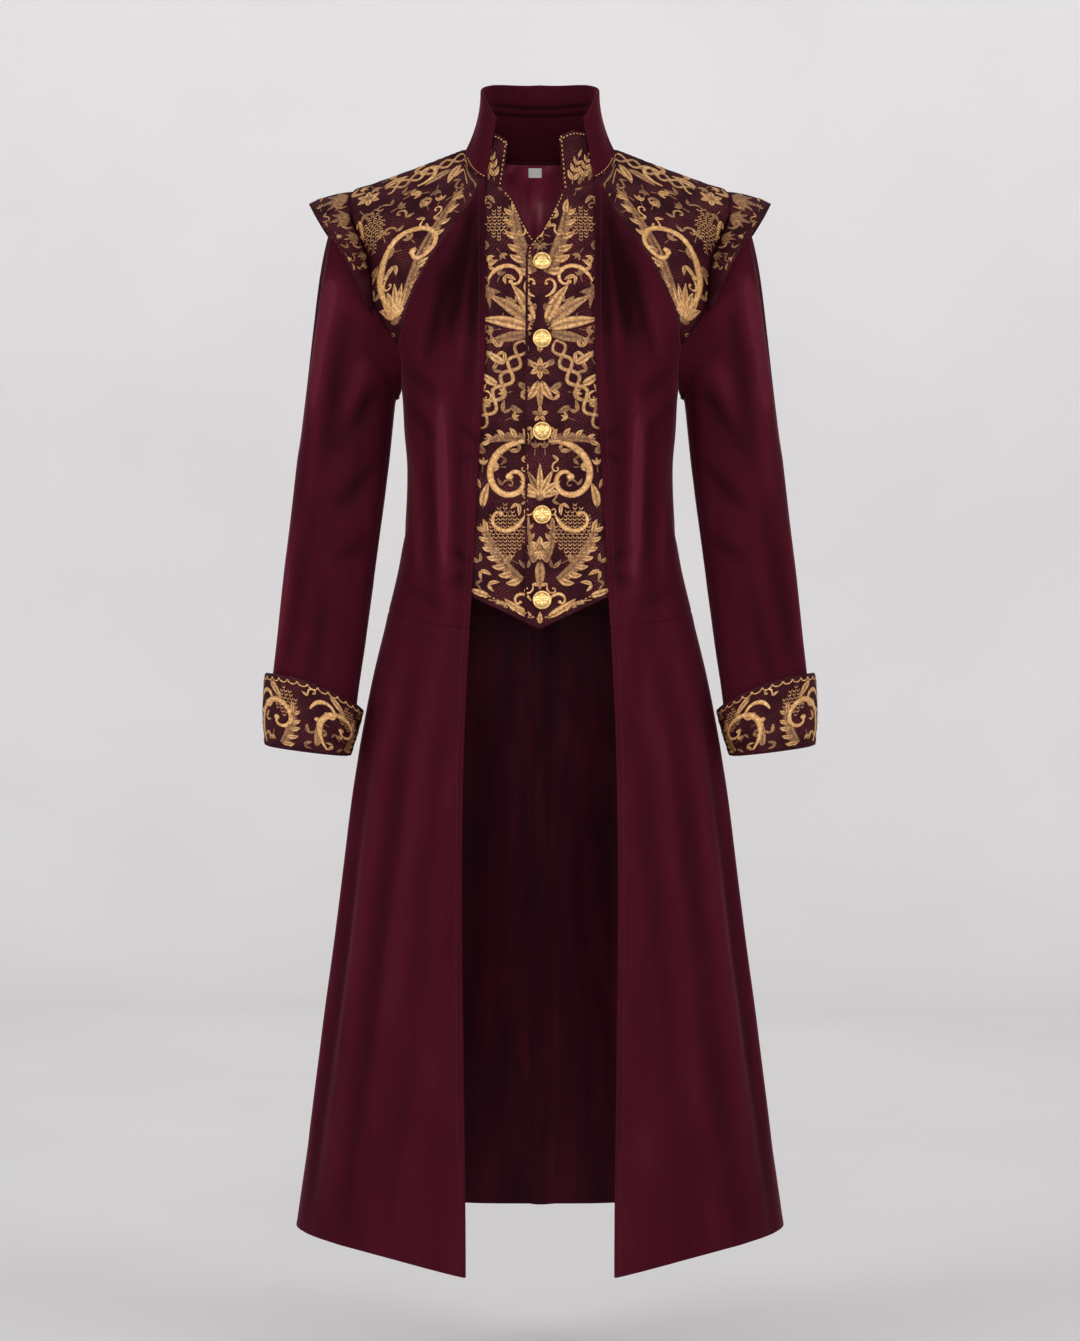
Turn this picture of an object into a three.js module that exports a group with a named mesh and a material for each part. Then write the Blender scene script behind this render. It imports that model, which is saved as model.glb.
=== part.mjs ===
// A long velvet coat with brocade shoulders, cuffs and a set-in vest, in the form it has when worn.
// Nobody is in it: each piece is a closed wall of cloth round the hollow that the wearer fills.
// Millimetres, +Z up, front towards -Y. The origin is midway between the two neck points.
import * as THREE from 'three';

// Thickness of each piece with its interlining, and the gaps between pieces.
const THICKNESS = {
  shell: 2.2,
  sleeve: 2.0,
  collar: 3.2,
  wing: 2.2,
  cuff: 2.2,
  vest: 2.0,
  vestCollar: 1.8,
  lining: 1.0,
  label: 0.6,
};
const SEAM_GAP = 0.3;
const LAYER_GAP = 0.9;

// How deep the hidden layers lie under the outer face of the coat.
const VEST_DEPTH = 3.7;
const VEST_UNDERLAP_DEPTH = VEST_DEPTH + THICKNESS.vest + LAYER_GAP;
const VEST_SEAM_DEPTH = THICKNESS.shell + 0.7;
const VEST_CHEST_EASE = 3;
const LINING_DEPTH = 4.6;
const LINING_TOP_DEPTH = 3.0;

// The outer face of the body, ring by ring from the neck (0) to the hem (18).
// Each ring is an oval, squarer as round falls below 1, whose height runs from sideZ to
// frontZ or backZ.
const NECK = 0;
const SHOULDER_POINT = 2;
const UNDERARM = 6;
const WAIST_SEAM = 11;
const HEM = 18;
const bodyRing = smoothTable(
  ['at', 'sideZ', 'frontZ', 'backZ', 'halfWidth', 'frontDepth', 'backDepth', 'dip', 'round'],
  [
    [NECK, 2, -58, 0, 86, 78, 72, 0.8, 1],
    [1, -23.5, -108, -38, 153, 102, 98, 1, 1],
    [1.6, -38.5, -133, -69, 193.5, 112, 106.5, 1.1, 1],
    [SHOULDER_POINT, -48.5, -150, -90, 220.5, 118, 112, 1.2, 0.98],
    [3, -115, -190, -150, 211, 124, 118, 1.3, 0.94],
    [4, -180, -225, -200, 208, 127, 119, 1.5, 0.9],
    [5, -232, -255, -245, 173.5, 128, 116, 1.5, 0.86],
    [UNDERARM, -280, -285, -282, 162, 127, 111, 1.5, 0.84],
    [7, -330, -330, -330, 158.5, 122, 101, 1.5, 0.84],
    [8, -374, -374, -374, 155, 115, 93, 1.5, 0.86],
    [9, -430, -431, -430, 157, 114, 95, 1.5, 0.88],
    [10, -485, -490, -485, 164.4, 119, 106, 1.5, 0.9],
    [WAIST_SEAM, -540, -565, -540, 177.3, 127, 119, 1.5, 0.92],
    [12, -620, -646, -621, 196, 138, 134, 2, 0.95],
    [13, -700, -727, -702, 211, 148, 148, 2.5, 0.97],
    [14, -780, -808, -784, 223.5, 157, 160, 3, 1],
    [15, -900, -929, -906, 238, 169, 176, 4, 1],
    [16, -1020, -1050, -1029, 254, 182, 192, 5, 1],
    [17, -1140, -1171, -1152, 270, 195, 207, 5.5, 1],
    [HEM, -1254.5, -1287, -1271, 285, 207, 222, 6, 1],
  ],
);

// Soft flutes of the skirt: they hang from the waist seam and are deepest at the back hem.
// They grow from the front depth to the back depth between the two angles.
const FLUTES_ROUND = 8;
const FLUTE_DEPTH = { front: 2, back: 10 };
const FLUTE_GROWTH = { fromAngle: 60, toAngle: 150 };

// Half the distance, in degrees and in rings, over which a surface's slope is measured.
const SLOPE_STEP = { angle: 0.5, at: 0.02 };

// The armhole is a loop round the shoulder: 0 degrees at the shoulder point, 180 under the arm.
const ARMHOLE_SWING = 24;
const ARMHOLE_MIDDLE_SHARE = 0.4;
const YOKE_TIP = 120;
const YOKE_STEPS = 16;
const UNDERARM_STEPS = 3;

// The free front edge of the coat: distance from the middle by depth below the origin.
const frontEdge = smoothTable(
  ['at', 'x'],
  [
    [40, 64.7],
    [100, 64],
    [200, 62.9],
    [300, 65.5],
    [335, 68.3],
    [447, 75.1],
    [520, 78.7],
    [562, 81.2],
    [640, 84.9],
    [1290, 83.2],
  ],
);

// Waypoints of the two lower edges of the yoke, seen square from the front and the back.
const YOKE_FRONT_EDGE = [
  { x: 67, z: -45 },
  { x: 78.5, z: -68.5 },
  { x: 105.5, z: -110 },
  { x: 136.3, z: -161.7 },
  { x: 149.3, z: -188 },
  { x: 163, z: -235 },
];
const YOKE_BACK_EDGE = [
  { x: 40, z: 0 },
  { x: 60, z: -30 },
  { x: 90, z: -75 },
  { x: 125, z: -130 },
  { x: 150, z: -180 },
  { x: 165, z: -236 },
];
const YOKE_ROWS = 9;

// Rows and columns of the panels.
const SIDE_SEAM_ROWS = 7;
const FRONT_COLUMNS = 8;
const BACK_COLUMNS = 10;
const SKIRT_ROWS = 10;

// The back skirt's vent: the wearer's left panel runs past the middle, under the right one.
const VENT_UNDERLAP = 182;
const VENT_JOGGLE = 179;
const VENT_DEPTH = THICKNESS.shell + LAYER_GAP + 0.9;

// The stand collar, open at the front.
const COLLAR_FRONT = 48.8;
const COLLAR_RIM = { halfWidth: 69.5, frontDepth: 84, backDepth: 64 };
const COLLAR_ROWS = 5;
const COLLAR_COLUMNS = 26;
const collarHeight = smoothTable(
  ['at', 'z'],
  [[0, 8], [COLLAR_FRONT, 27.5], [65, 48], [90, 68], [120, 80], [180, 86.5]],
);

// The stiff wing that stands out over the head of the sleeve, by angle along the armhole.
const WING_END = 90;
const WING_STEPS = 12;
const WING_COLUMNS = 3;
const WING_ARCH = { height: 2.5, fullFromReach: 40 };
const wingEdge = smoothTable(
  ['at', 'x', 'halfDepth', 'z'],
  [
    [0, 270, 0, -62],
    [16, 262.5, 25, -76],
    [32, 252, 44, -92],
    [51, 230, 62, -122],
    [70, 212, 69, -158],
    [WING_END, 195.5, 63.5, -193],
  ],
);

// The sleeve, ring by ring from the armhole (0) to its hem (12): the outermost and innermost
// points, half its depth and how far its middle has swung forward.
const SLEEVE_HEM = 12;
const sleeveRing = smoothTable(
  ['at', 'outerX', 'outerZ', 'innerX', 'innerZ', 'halfDepth', 'forward', 'seamPull'],
  [
    [0, 220.5, -48.5, 162, -280, 56, 0, 1],
    [1, 237, -70, 162.5, -282.5, 60, 0, 0.6],
    [2, 249, -106, 163.2, -285, 63, 0, 0.25],
    [3, 258.5, -152, 164.5, -288, 65, 0, 0],
    [4, 266, -212, 166, -292, 65.5, 1, 0],
    [5, 275, -287, 168.5, -299, 65, 2, 0],
    [6, 282.6, -356, 175.5, -369, 64, 4, 0],
    [7, 290.3, -427, 184.5, -440, 62, 8, 0],
    [8, 298.3, -497, 194, -510, 59, 14, 0],
    [9, 305.3, -567, 203, -580, 55, 22, 0],
    [10, 310, -610, 209, -622.5, 52.5, 28, 0],
    [11, 315, -655, 214.5, -667.5, 50, 35, 0],
    [SLEEVE_HEM, 315.5, -695, 221.5, -707, 48, 41, 0],
  ],
);
const SLEEVE_BACK_SEAM = -105;
const SLEEVE_FRONT_SEAM = 160;

// Under the wing the sleeve starts deeper; under the arm it starts a little proud of the body.
const SLEEVE_TUCK = THICKNESS.wing + LAYER_GAP;
const SLEEVE_LIFT = { height: 1.2 * SEAM_GAP, fromTurn: 95, toTurn: 150 };
const SLEEVE_FIRST_SLOPE_AT = 0.5;

// The turned-back cuff, slit at the outer side of the wrist. Its bottom and top edges are places
// along the sleeve; the corners at the slit dip a little, and the top falls towards the body.
const CUFF = { bottom: 11.97, topOuter: 10.08, topInner: 10.72, topFall: 2.6, rows: 3, steps: 20 };
const CUFF_SLIT = { halfTurn: 2.4, cornerDip: 0.13, cornerShare: 0.04 };
const CUFF_FLARE = { outer: 6, inner: 5.5, sides: 6.5, gap: 0.8 };

// The vest: the V neck and closure edge of each half, by depth below the origin.
const VEST_OUTER_REACH = 38;
const VEST_WIDEST_ANGLE = 62;
const VEST_ROWS = 18;
const VEST_COLUMNS = 7;
const VEST_TOP = 0.02;
const VEST_HEM = { pointZ: -561, rise: 0.47 };
const vestEdge = {
  left: lineTable([
    { depth: 53, x: 24.5 },
    { depth: 65, x: 23.6 },
    { depth: 86, x: 13 },
    { depth: 111, x: 0.3 },
    { depth: 117, x: -6 },
    { depth: 128, x: -14 },
    { depth: 140, x: -15.5 },
    { depth: 620, x: -16.8 },
  ]),
  right: lineTable([
    { depth: 52, x: 44.5 },
    { depth: 72, x: 30 },
    { depth: 94, x: 20.4 },
    { depth: 111, x: 10.8 },
    { depth: 116, x: 7.6 },
    { depth: 136, x: -12 },
    { depth: 620, x: -12 },
  ]),
};

// The rows of the vest stand closer at the neck, by this power and its share.
const VEST_CROWDING = { power: 1.5, share: 0.65 };

// Where the right half goes under the left, and where the chest is hidden under the coat's front:
// both by distance from the middle and by depth below the origin.
const UNDERLAP = { fromX: 32, toX: 18, fromDepth: 60, toDepth: 106 };
const HIDDEN_CHEST = { fromX: 66, toX: 90, untilDepth: 180, goneDepth: 260 };
const SEWN_EDGE = { fromShare: 0.8, fromDepth: 200, toDepth: 280 };

// The vest's own small stand collar: the angle of its front edge and the height of its rim.
const VEST_COLLAR_END = 76;
const VEST_COLLAR_INSET = 4.3;
const VEST_COLLAR_GRID = { rows: 4, columns: 8 };
const VEST_COLLAR_BREAK = { share: 0.25, lift: 0.6, slopeAt: 0.1 };
const vestCollar = {
  left: {
    front: 19.5,
    rim: smoothTable(['angle', 'z'], [[19.5, 1.6], [33, 9.7], [50, 10.8], [VEST_COLLAR_END, 11]]),
  },
  right: {
    front: 33,
    rim: smoothTable(['angle', 'z'], [[33, -3], [40, 4], [52, 10.2], [VEST_COLLAR_END, 11]]),
  },
};

// Domed metal buttons on the wearer's left half of the vest.
const BUTTON = {
  radius: 10.5,
  height: 5,
  sides: 20,
  x: 2.4,
  chamfer: 0.9,
  rim: { width: 1.4, top: 3.2, side: 2.6 },
  groove: { width: 0.8, z: 2.5 },
  dome: { radius: 4.7, z: 4.5 },
};
const BUTTON_HEIGHTS = [-144.9, -234.2, -338.4, -432.3, -529.2];

// Back lining with its ease pleat, and the blank label at the neck.
const LINING = { from: 126, top: 0.12, bottom: 8, rows: 13, columns: 14, crowding: 1.2 };
const LINING_SINK = { fromAt: 0.15, toAt: 0.9 };
const PLEAT = { depth: 4, halfAngle: 4, clearAngle: 10, startAt: 1, fullAt: 1.7, fadeAt: 3, goneAt: 6 };
const LABEL = { width: 15.6, height: 9.2, x: -6, z: -11.2 };

const MATERIALS = {
  velvet: cloth(0x4b1426, 0.75),
  brocade: cloth(0xa9803f, 0.55),
  satin: cloth(0x5a1228, 0.35),
  label: cloth(0xe6e4e2, 0.8),
  gold: new THREE.MeshStandardMaterial({ color: 0xd9a845, roughness: 0.3, metalness: 0.9 }),
};

function cloth(color, roughness) {
  return new THREE.MeshStandardMaterial({ color, roughness, metalness: 0 });
}

// Tables

// A table as a smooth function of its first column, with one named value for each other column.
function smoothTable(columns, rows) {
  const slopes = rows.map((row, i) => row.map((value, column) => {
    const before = rows[Math.max(i - 1, 0)];
    const after = rows[Math.min(i + 1, rows.length - 1)];
    const stepBefore = row[0] - before[0];
    const stepAfter = after[0] - row[0];
    if (stepBefore === 0) return (after[column] - value) / stepAfter;
    if (stepAfter === 0) return (value - before[column]) / stepBefore;
    const riseBefore = (value - before[column]) / stepBefore;
    const riseAfter = (after[column] - value) / stepAfter;
    return (riseBefore * stepAfter + riseAfter * stepBefore) / (stepBefore + stepAfter);
  }));
  return (at) => {
    let i = 0;
    while (i < rows.length - 2 && at > rows[i + 1][0]) i += 1;
    const step = rows[i + 1][0] - rows[i][0];
    const u = THREE.MathUtils.clamp((at - rows[i][0]) / step, 0, 1);
    const result = {};
    columns.forEach((name, column) => {
      const fromStart = rows[i][column] * (1 + 2 * u) + slopes[i][column] * step * u;
      const fromEnd = rows[i + 1][column] * (3 - 2 * u) - slopes[i + 1][column] * step * (1 - u);
      result[name] = fromStart * (1 - u) ** 2 + fromEnd * u ** 2;
    });
    return result;
  };
}

// A table of x by depth as straight stretches.
function lineTable(rows) {
  return (depth) => {
    let i = 0;
    while (i < rows.length - 2 && depth > rows[i + 1].depth) i += 1;
    const from = rows[i];
    const to = rows[i + 1];
    return mix(from.x, to.x, THREE.MathUtils.clamp((depth - from.depth) / (to.depth - from.depth), 0, 1));
  };
}

// The value between low and high at which a rising function passes zero.
function solveRising(rising, low, high) {
  for (let round = 0; round < 40; round += 1) {
    const middle = (low + high) / 2;
    if (rising(middle) > 0) high = middle;
    else low = middle;
  }
  return (low + high) / 2;
}

function mix(a, b, share) {
  return a + (b - a) * share;
}

function ease(from, to, value) {
  return THREE.MathUtils.smoothstep(value, from, to);
}

function degrees(angle) {
  return THREE.MathUtils.degToRad(angle);
}

function range(count) {
  return Array.from({ length: count + 1 }, (_, i) => i / count);
}

// The body's surface. Angles run in degrees from the front (0) by the wearer's left (90) to the back.

function oval(angle, { halfWidth, frontDepth, backDepth, round }) {
  const s = Math.sin(degrees(angle));
  const c = Math.cos(degrees(angle));
  return {
    x: halfWidth * Math.sign(s) * Math.abs(s) ** round,
    y: -Math.sign(c) * (c > 0 ? frontDepth : backDepth) * Math.abs(c) ** round,
  };
}

function fluteDepth(angle, at) {
  const towardsBack = ease(FLUTE_GROWTH.fromAngle, FLUTE_GROWTH.toAngle, 180 - Math.abs(180 - angle));
  const depth = mix(FLUTE_DEPTH.front, FLUTE_DEPTH.back, towardsBack) * ease(WAIST_SEAM, HEM, at);
  return depth * (1 - Math.cos(degrees(FLUTES_ROUND * angle))) / 2;
}

function bodyPoint(angle, at) {
  const ring = bodyRing(at);
  const c = Math.cos(degrees(angle));
  const { x, y } = oval(angle, ring);
  const z = mix(ring.sideZ, c > 0 ? ring.frontZ : ring.backZ, Math.abs(c) ** ring.dip);
  const shrink = 1 - fluteDepth(angle, at) / Math.hypot(x, y);
  return new THREE.Vector3(x * shrink, y * shrink, z);
}

// The direction square to a surface at u (degrees) and v (rings, kept between low and high).
function surfaceNormal(surface, u, v, low, high) {
  const alongU = surface(u + SLOPE_STEP.angle, v).sub(surface(u - SLOPE_STEP.angle, v));
  const above = surface(u, Math.max(v - SLOPE_STEP.at, low));
  const alongV = surface(u, Math.min(v + SLOPE_STEP.at, high)).sub(above);
  return alongV.cross(alongU).normalize();
}

// A point of the body with its outward direction, moved in by a depth.
function bodyCloth(angle, at, depth = 0) {
  const normal = surfaceNormal(bodyPoint, angle, at, NECK, HEM);
  return { point: bodyPoint(angle, at).addScaledVector(normal, -depth), normal };
}

// The place on the body, as angle and ring, seen at x and z from the front or the back.
function placeSeen(x, z, fromBack) {
  const angleAt = (at) => {
    const { halfWidth, round } = bodyRing(at);
    const share = Math.min(Math.abs(x) / halfWidth, 1) ** (1 / round);
    const angle = Math.sign(x) * THREE.MathUtils.radToDeg(Math.asin(share));
    return fromBack ? 180 - angle : angle;
  };
  const at = solveRising((level) => z - bodyPoint(angleAt(level), level).z, NECK, HEM);
  return { angle: angleAt(at), at };
}

function armhole(turn) {
  return {
    angle: 90 - ARMHOLE_SWING * Math.sin(degrees(turn)),
    at: mix(SHOULDER_POINT, UNDERARM, (1 - Math.cos(degrees(turn))) / 2),
  };
}

// The turns at which the armhole is cut into steps, from the back under the arm to the front.
const YOKE_TURNS = range(YOKE_STEPS).map((share) => mix(-YOKE_TIP, YOKE_TIP, share));
const UNDER_TURNS = range(UNDERARM_STEPS).map((share) => mix(YOKE_TIP, 180, share));

// Walls of cloth

// Draws the edges of a grid in by half a seam gap.
function trimSeams(rows) {
  const last = rows.length - 1;
  const end = rows[0].length - 1;
  const pulled = rows.map((row) => row.map(({ point, normal }) => ({ point: point.clone(), normal })));
  const pull = (i, j, towardsI, towardsJ) => {
    const direction = rows[towardsI][towardsJ].point.clone().sub(rows[i][j].point).normalize();
    pulled[i][j].point.addScaledVector(direction, SEAM_GAP / 2);
  };
  rows.forEach((row, i) => {
    pull(i, 0, i, 1);
    pull(i, end, i, end - 1);
  });
  rows[0].forEach((place, j) => {
    pull(0, j, 1, j);
    pull(last, j, last - 1, j);
  });
  return pulled;
}

// Closes a grid of outer points into a wall: outer face, inner face and the four edges between.
function wallGeometry(rows, thickness) {
  const width = rows[0].length;
  const height = rows.length;
  const outer = rows.flat().map((place) => place.point);
  const inner = rows.flat().map((place) => place.point.clone().addScaledVector(place.normal, -thickness));
  const points = [...outer, ...inner];
  const offset = outer.length;
  const triangles = [];
  const quad = (a, b, c, d) => {
    const cutAC = points[a].distanceTo(points[c]) <= points[b].distanceTo(points[d]);
    if (cutAC) triangles.push([a, b, c], [a, c, d]);
    else triangles.push([a, b, d], [b, c, d]);
  };
  const at = (i, j) => i * width + j;
  for (let i = 0; i < height - 1; i += 1) {
    for (let j = 0; j < width - 1; j += 1) {
      quad(at(i, j), at(i + 1, j), at(i + 1, j + 1), at(i, j + 1));
      quad(offset + at(i, j), offset + at(i, j + 1), offset + at(i + 1, j + 1), offset + at(i + 1, j));
    }
  }
  const edge = (a, b) => quad(a, b, offset + b, offset + a);
  for (let i = 0; i < height - 1; i += 1) {
    edge(at(i + 1, 0), at(i, 0));
    edge(at(i, width - 1), at(i + 1, width - 1));
  }
  for (let j = 0; j < width - 1; j += 1) {
    edge(at(0, j), at(0, j + 1));
    edge(at(height - 1, j + 1), at(height - 1, j));
  }
  return closedGeometry(points, triangles);
}

// Builds a geometry whose faces point out, whichever way round they were listed.
function closedGeometry(points, triangles) {
  const volume = triangles.reduce((sum, [a, b, c]) => {
    return sum + points[a].dot(points[b].clone().cross(points[c]));
  }, 0);
  const turned = volume > 0 ? triangles : triangles.map(([a, b, c]) => [a, c, b]);
  const geometry = new THREE.BufferGeometry();
  const positions = points.flatMap((point) => point.toArray());
  geometry.setAttribute('position', new THREE.Float32BufferAttribute(positions, 3));
  geometry.setIndex(turned.flat());
  geometry.computeVertexNormals();
  return geometry;
}

const SIDES = [{ side: 'left', sign: 1 }, { side: 'right', sign: -1 }];

// The same grid on the wearer's left (+X) or right (-X) side.
function onSide(rows, sign) {
  const flip = new THREE.Vector3(sign, 1, 1);
  return rows.map((row) => row.map((place) => ({
    point: place.point.clone().multiply(flip),
    normal: place.normal.clone().multiply(flip),
  })));
}

function clothMesh(name, rows, thickness, material) {
  const mesh = new THREE.Mesh(wallGeometry(rows, thickness), material);
  mesh.name = name;
  return mesh;
}

// Coat body

// The angle at which a level line of the body meets a free edge given as x by depth.
function angleAtEdge(edge, levelAt, widest = 89) {
  return solveRising((angle) => {
    const point = bodyPoint(angle, levelAt(angle));
    return point.x - edge(-point.z);
  }, -30, widest);
}

// One lower edge of the yoke from the neck to the armhole, as places on the body.
function yokeEdge(waypoints, fromBack) {
  let run = 0;
  const curve = smoothTable(['run', 'x', 'z'], waypoints.map(({ x, z }, i) => {
    const last = waypoints[Math.max(i - 1, 0)];
    run += Math.hypot(x - last.x, z - last.z);
    return [run, x, z];
  }));
  const neckAngle = THREE.MathUtils.radToDeg(Math.asin(waypoints[0].x / bodyRing(NECK).halfWidth));
  return range(YOKE_ROWS).map((share) => {
    if (share === 0) return { angle: fromBack ? 180 - neckAngle : neckAngle, at: NECK };
    if (share === 1) return armhole(fromBack ? -YOKE_TIP : YOKE_TIP);
    const { x, z } = curve(share * run);
    return placeSeen(x, z, fromBack);
  });
}

const yokeFront = yokeEdge(YOKE_FRONT_EDGE, false);
const yokeBack = yokeEdge(YOKE_BACK_EDGE, true);

// The outer boundary of a bodice panel: yoke edge, armhole under the yoke, side seam.
function bodiceBoundary(yokePlaces, armholeSign) {
  const underYoke = UNDER_TURNS.slice(1).map((turn) => armhole(armholeSign * turn));
  const sideSeam = range(SIDE_SEAM_ROWS).slice(1).map((share) => ({
    angle: 90,
    at: mix(UNDERARM, WAIST_SEAM, share),
  }));
  return [...yokePlaces, ...underYoke, ...sideSeam];
}

function bodiceFrontRows() {
  return bodiceBoundary(yokeFront, 1).map(({ angle, at }) => {
    const edgeAngle = angleAtEdge((depth) => frontEdge(depth).x, () => at);
    return range(FRONT_COLUMNS).map((share) => bodyCloth(mix(edgeAngle, angle, share), at));
  });
}

function bodiceBackRows() {
  return bodiceBoundary(yokeBack, -1).map(({ angle, at }) => {
    return range(BACK_COLUMNS).map((share) => bodyCloth(mix(180, angle, share), at));
  });
}

function skirtFrontRows() {
  return range(SKIRT_ROWS).map((share) => {
    const at = mix(WAIST_SEAM, HEM, share);
    const edgeAngle = angleAtEdge((depth) => frontEdge(depth).x, () => at);
    return range(FRONT_COLUMNS).map((across) => bodyCloth(mix(edgeAngle, 90, across), at));
  });
}

function skirtBackRows(underlapped) {
  return range(SKIRT_ROWS).map((share) => {
    const at = mix(WAIST_SEAM, HEM, share);
    const columns = range(BACK_COLUMNS).map((across) => mix(90, 180, across));
    if (!underlapped) return columns.map((angle) => bodyCloth(angle, at));
    const outerColumns = columns.slice(0, -1).map((angle) => bodyCloth(angle, at));
    const underColumns = [VENT_JOGGLE, VENT_UNDERLAP].map((angle) => bodyCloth(angle, at, VENT_DEPTH));
    return [...outerColumns, ...underColumns];
  });
}

// The yoke fills the space between its two lower edges, the neck and the armhole.
function yokeRows() {
  const blend = (key, across, i) => {
    const along = i / YOKE_ROWS;
    const neck = mix(yokeFront[0][key], yokeBack[0][key], across);
    const arm = armhole(mix(YOKE_TIP, -YOKE_TIP, across))[key];
    const sides = mix(yokeFront[i][key], yokeBack[i][key], across);
    const corners = mix(
      mix(yokeFront[0][key], yokeBack[0][key], across),
      mix(yokeFront[YOKE_ROWS][key], yokeBack[YOKE_ROWS][key], across),
      along,
    );
    return sides + mix(neck, arm, along) - corners;
  };
  return yokeFront.map((_, i) => range(YOKE_STEPS).map((across) => {
    return bodyCloth(blend('angle', across, i), blend('at', across, i));
  }));
}

// Sleeve head and wing

// At the armhole: the point, the body's outward normal and the direction out of the panel.
function armholeFrame(turn) {
  const place = armhole(turn);
  const { point, normal } = bodyCloth(place.angle, place.at);
  const before = armhole(turn - 1);
  const after = armhole(turn + 1);
  const along = bodyPoint(after.angle, after.at).sub(bodyPoint(before.angle, before.at));
  const outOfPanel = along.cross(normal).normalize();
  const inArmhole = bodyPoint(90, mix(SHOULDER_POINT, UNDERARM, ARMHOLE_MIDDLE_SHARE));
  if (outOfPanel.dot(inArmhole.sub(point)) < 0) outOfPanel.negate();
  return { point, normal, outOfPanel };
}

// Turns a wall's normal so that the wall, laid in from its seam, stays out of its neighbour.
function clearOfPanel(normal, outOfPanel) {
  const intoPanel = Math.max(normal.dot(outOfPanel), 0);
  return normal.clone().addScaledVector(outOfPanel, -intoPanel).normalize();
}

// A point of the sleeve. The first rings are pulled from their ovals towards the armhole.
function sleevePoint(turn, at) {
  const ring = sleeveRing(at);
  const plain = sleeveOval(turn, ring);
  if (ring.seamPull <= 0) return plain;
  const seam = armhole(turn);
  const fromOval = bodyPoint(seam.angle, seam.at).sub(sleeveOval(turn, sleeveRing(0)));
  return plain.addScaledVector(fromOval, ring.seamPull);
}

function sleeveOval(turn, ring) {
  const outwards = (1 + Math.cos(degrees(turn))) / 2;
  return new THREE.Vector3(
    mix(ring.innerX, ring.outerX, outwards),
    -ring.forward - ring.halfDepth * Math.sin(degrees(turn)),
    mix(ring.innerZ, ring.outerZ, outwards),
  );
}

function sleeveNormal(turn, at) {
  return surfaceNormal(sleevePoint, turn, at, 0, SLEEVE_HEM).negate();
}

function sleeveCloth(turn, at) {
  const normal = sleeveNormal(turn, at);
  if (at > 0) return { point: sleevePoint(turn, at), normal };
  const seam = armholeFrame(turn);
  const underWing = 1 - ease(WING_END, YOKE_TIP, Math.abs(turn));
  const underArm = ease(SLEEVE_LIFT.fromTurn, SLEEVE_LIFT.toTurn, Math.abs(turn));
  const point = seam.point.clone()
    .addScaledVector(seam.outOfPanel, SEAM_GAP)
    .addScaledVector(seam.normal, SLEEVE_LIFT.height * underArm)
    .addScaledVector(sleeveNormal(turn, SLEEVE_FIRST_SLOPE_AT), -SLEEVE_TUCK * underWing);
  return { point, normal: clearOfPanel(normal, seam.outOfPanel.clone().negate()) };
}

function sleeveRows(turns) {
  return range(SLEEVE_HEM).map((share) => turns.map((turn) => sleeveCloth(turn, share * SLEEVE_HEM)));
}

const LOOP_TURNS = [
  ...YOKE_TURNS,
  ...UNDER_TURNS.slice(1),
  ...UNDER_TURNS.slice(0, -1).reverse().map((turn) => 360 - turn),
];

function upperSleeveRows() {
  return sleeveRows(LOOP_TURNS.filter((turn) => turn >= SLEEVE_BACK_SEAM && turn <= SLEEVE_FRONT_SEAM));
}

function underSleeveRows() {
  const turns = LOOP_TURNS.filter((turn) => turn >= SLEEVE_FRONT_SEAM);
  return sleeveRows([...turns, 360 + SLEEVE_BACK_SEAM]);
}

// A point of the wing between the armhole (0) and its free edge (1).
function wingPoint(turn, out) {
  const seam = armholeFrame(turn);
  const edge = wingEdge(Math.abs(turn));
  const tip = new THREE.Vector3(edge.x, -Math.sign(turn) * edge.halfDepth, edge.z);
  const root = seam.point.clone().addScaledVector(seam.outOfPanel, SEAM_GAP);
  const reach = root.distanceTo(tip);
  const arch = WING_ARCH.height * 4 * out * (1 - out) * Math.min(reach / WING_ARCH.fullFromReach, 1);
  return root.lerp(tip, out).addScaledVector(seam.normal, arch);
}

function wingRows() {
  return range(WING_STEPS).map((share) => {
    const turn = mix(-WING_END, WING_END, share);
    return range(WING_COLUMNS).map((out) => {
      const normal = surfaceNormal(wingPoint, turn, out, 0, 1).negate();
      const outOfPanel = armholeFrame(turn).outOfPanel.negate();
      return { point: wingPoint(turn, out), normal: out === 0 ? clearOfPanel(normal, outOfPanel) : normal };
    });
  });
}

// The cuff stands off the sleeve, more at its top edge than at the hem where it is sewn.
function cuffRows() {
  const { bottom, topOuter, topInner, topFall, rows, steps } = CUFF;
  const { halfTurn, cornerDip, cornerShare } = CUFF_SLIT;
  return range(rows).map((up) => range(steps).map((share) => {
    const turn = mix(halfTurn, 360 - halfTurn, share);
    const inwards = (1 - Math.cos(degrees(turn))) / 2;
    const atSlit = 1 - ease(0, cornerShare, Math.min(share, 1 - share));
    const top = mix(topOuter, topInner, inwards ** topFall) + cornerDip * atSlit;
    const at = mix(bottom, top, up);
    const onSides = Math.abs(Math.sin(degrees(turn)));
    const flare = mix(mix(CUFF_FLARE.outer, CUFF_FLARE.inner, inwards), CUFF_FLARE.sides, onSides);
    const away = CUFF_FLARE.gap + THICKNESS.cuff + flare * up;
    const normal = sleeveNormal(turn, at);
    return { point: sleevePoint(turn, at).addScaledVector(normal, away), normal };
  }));
}

// Collar

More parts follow.
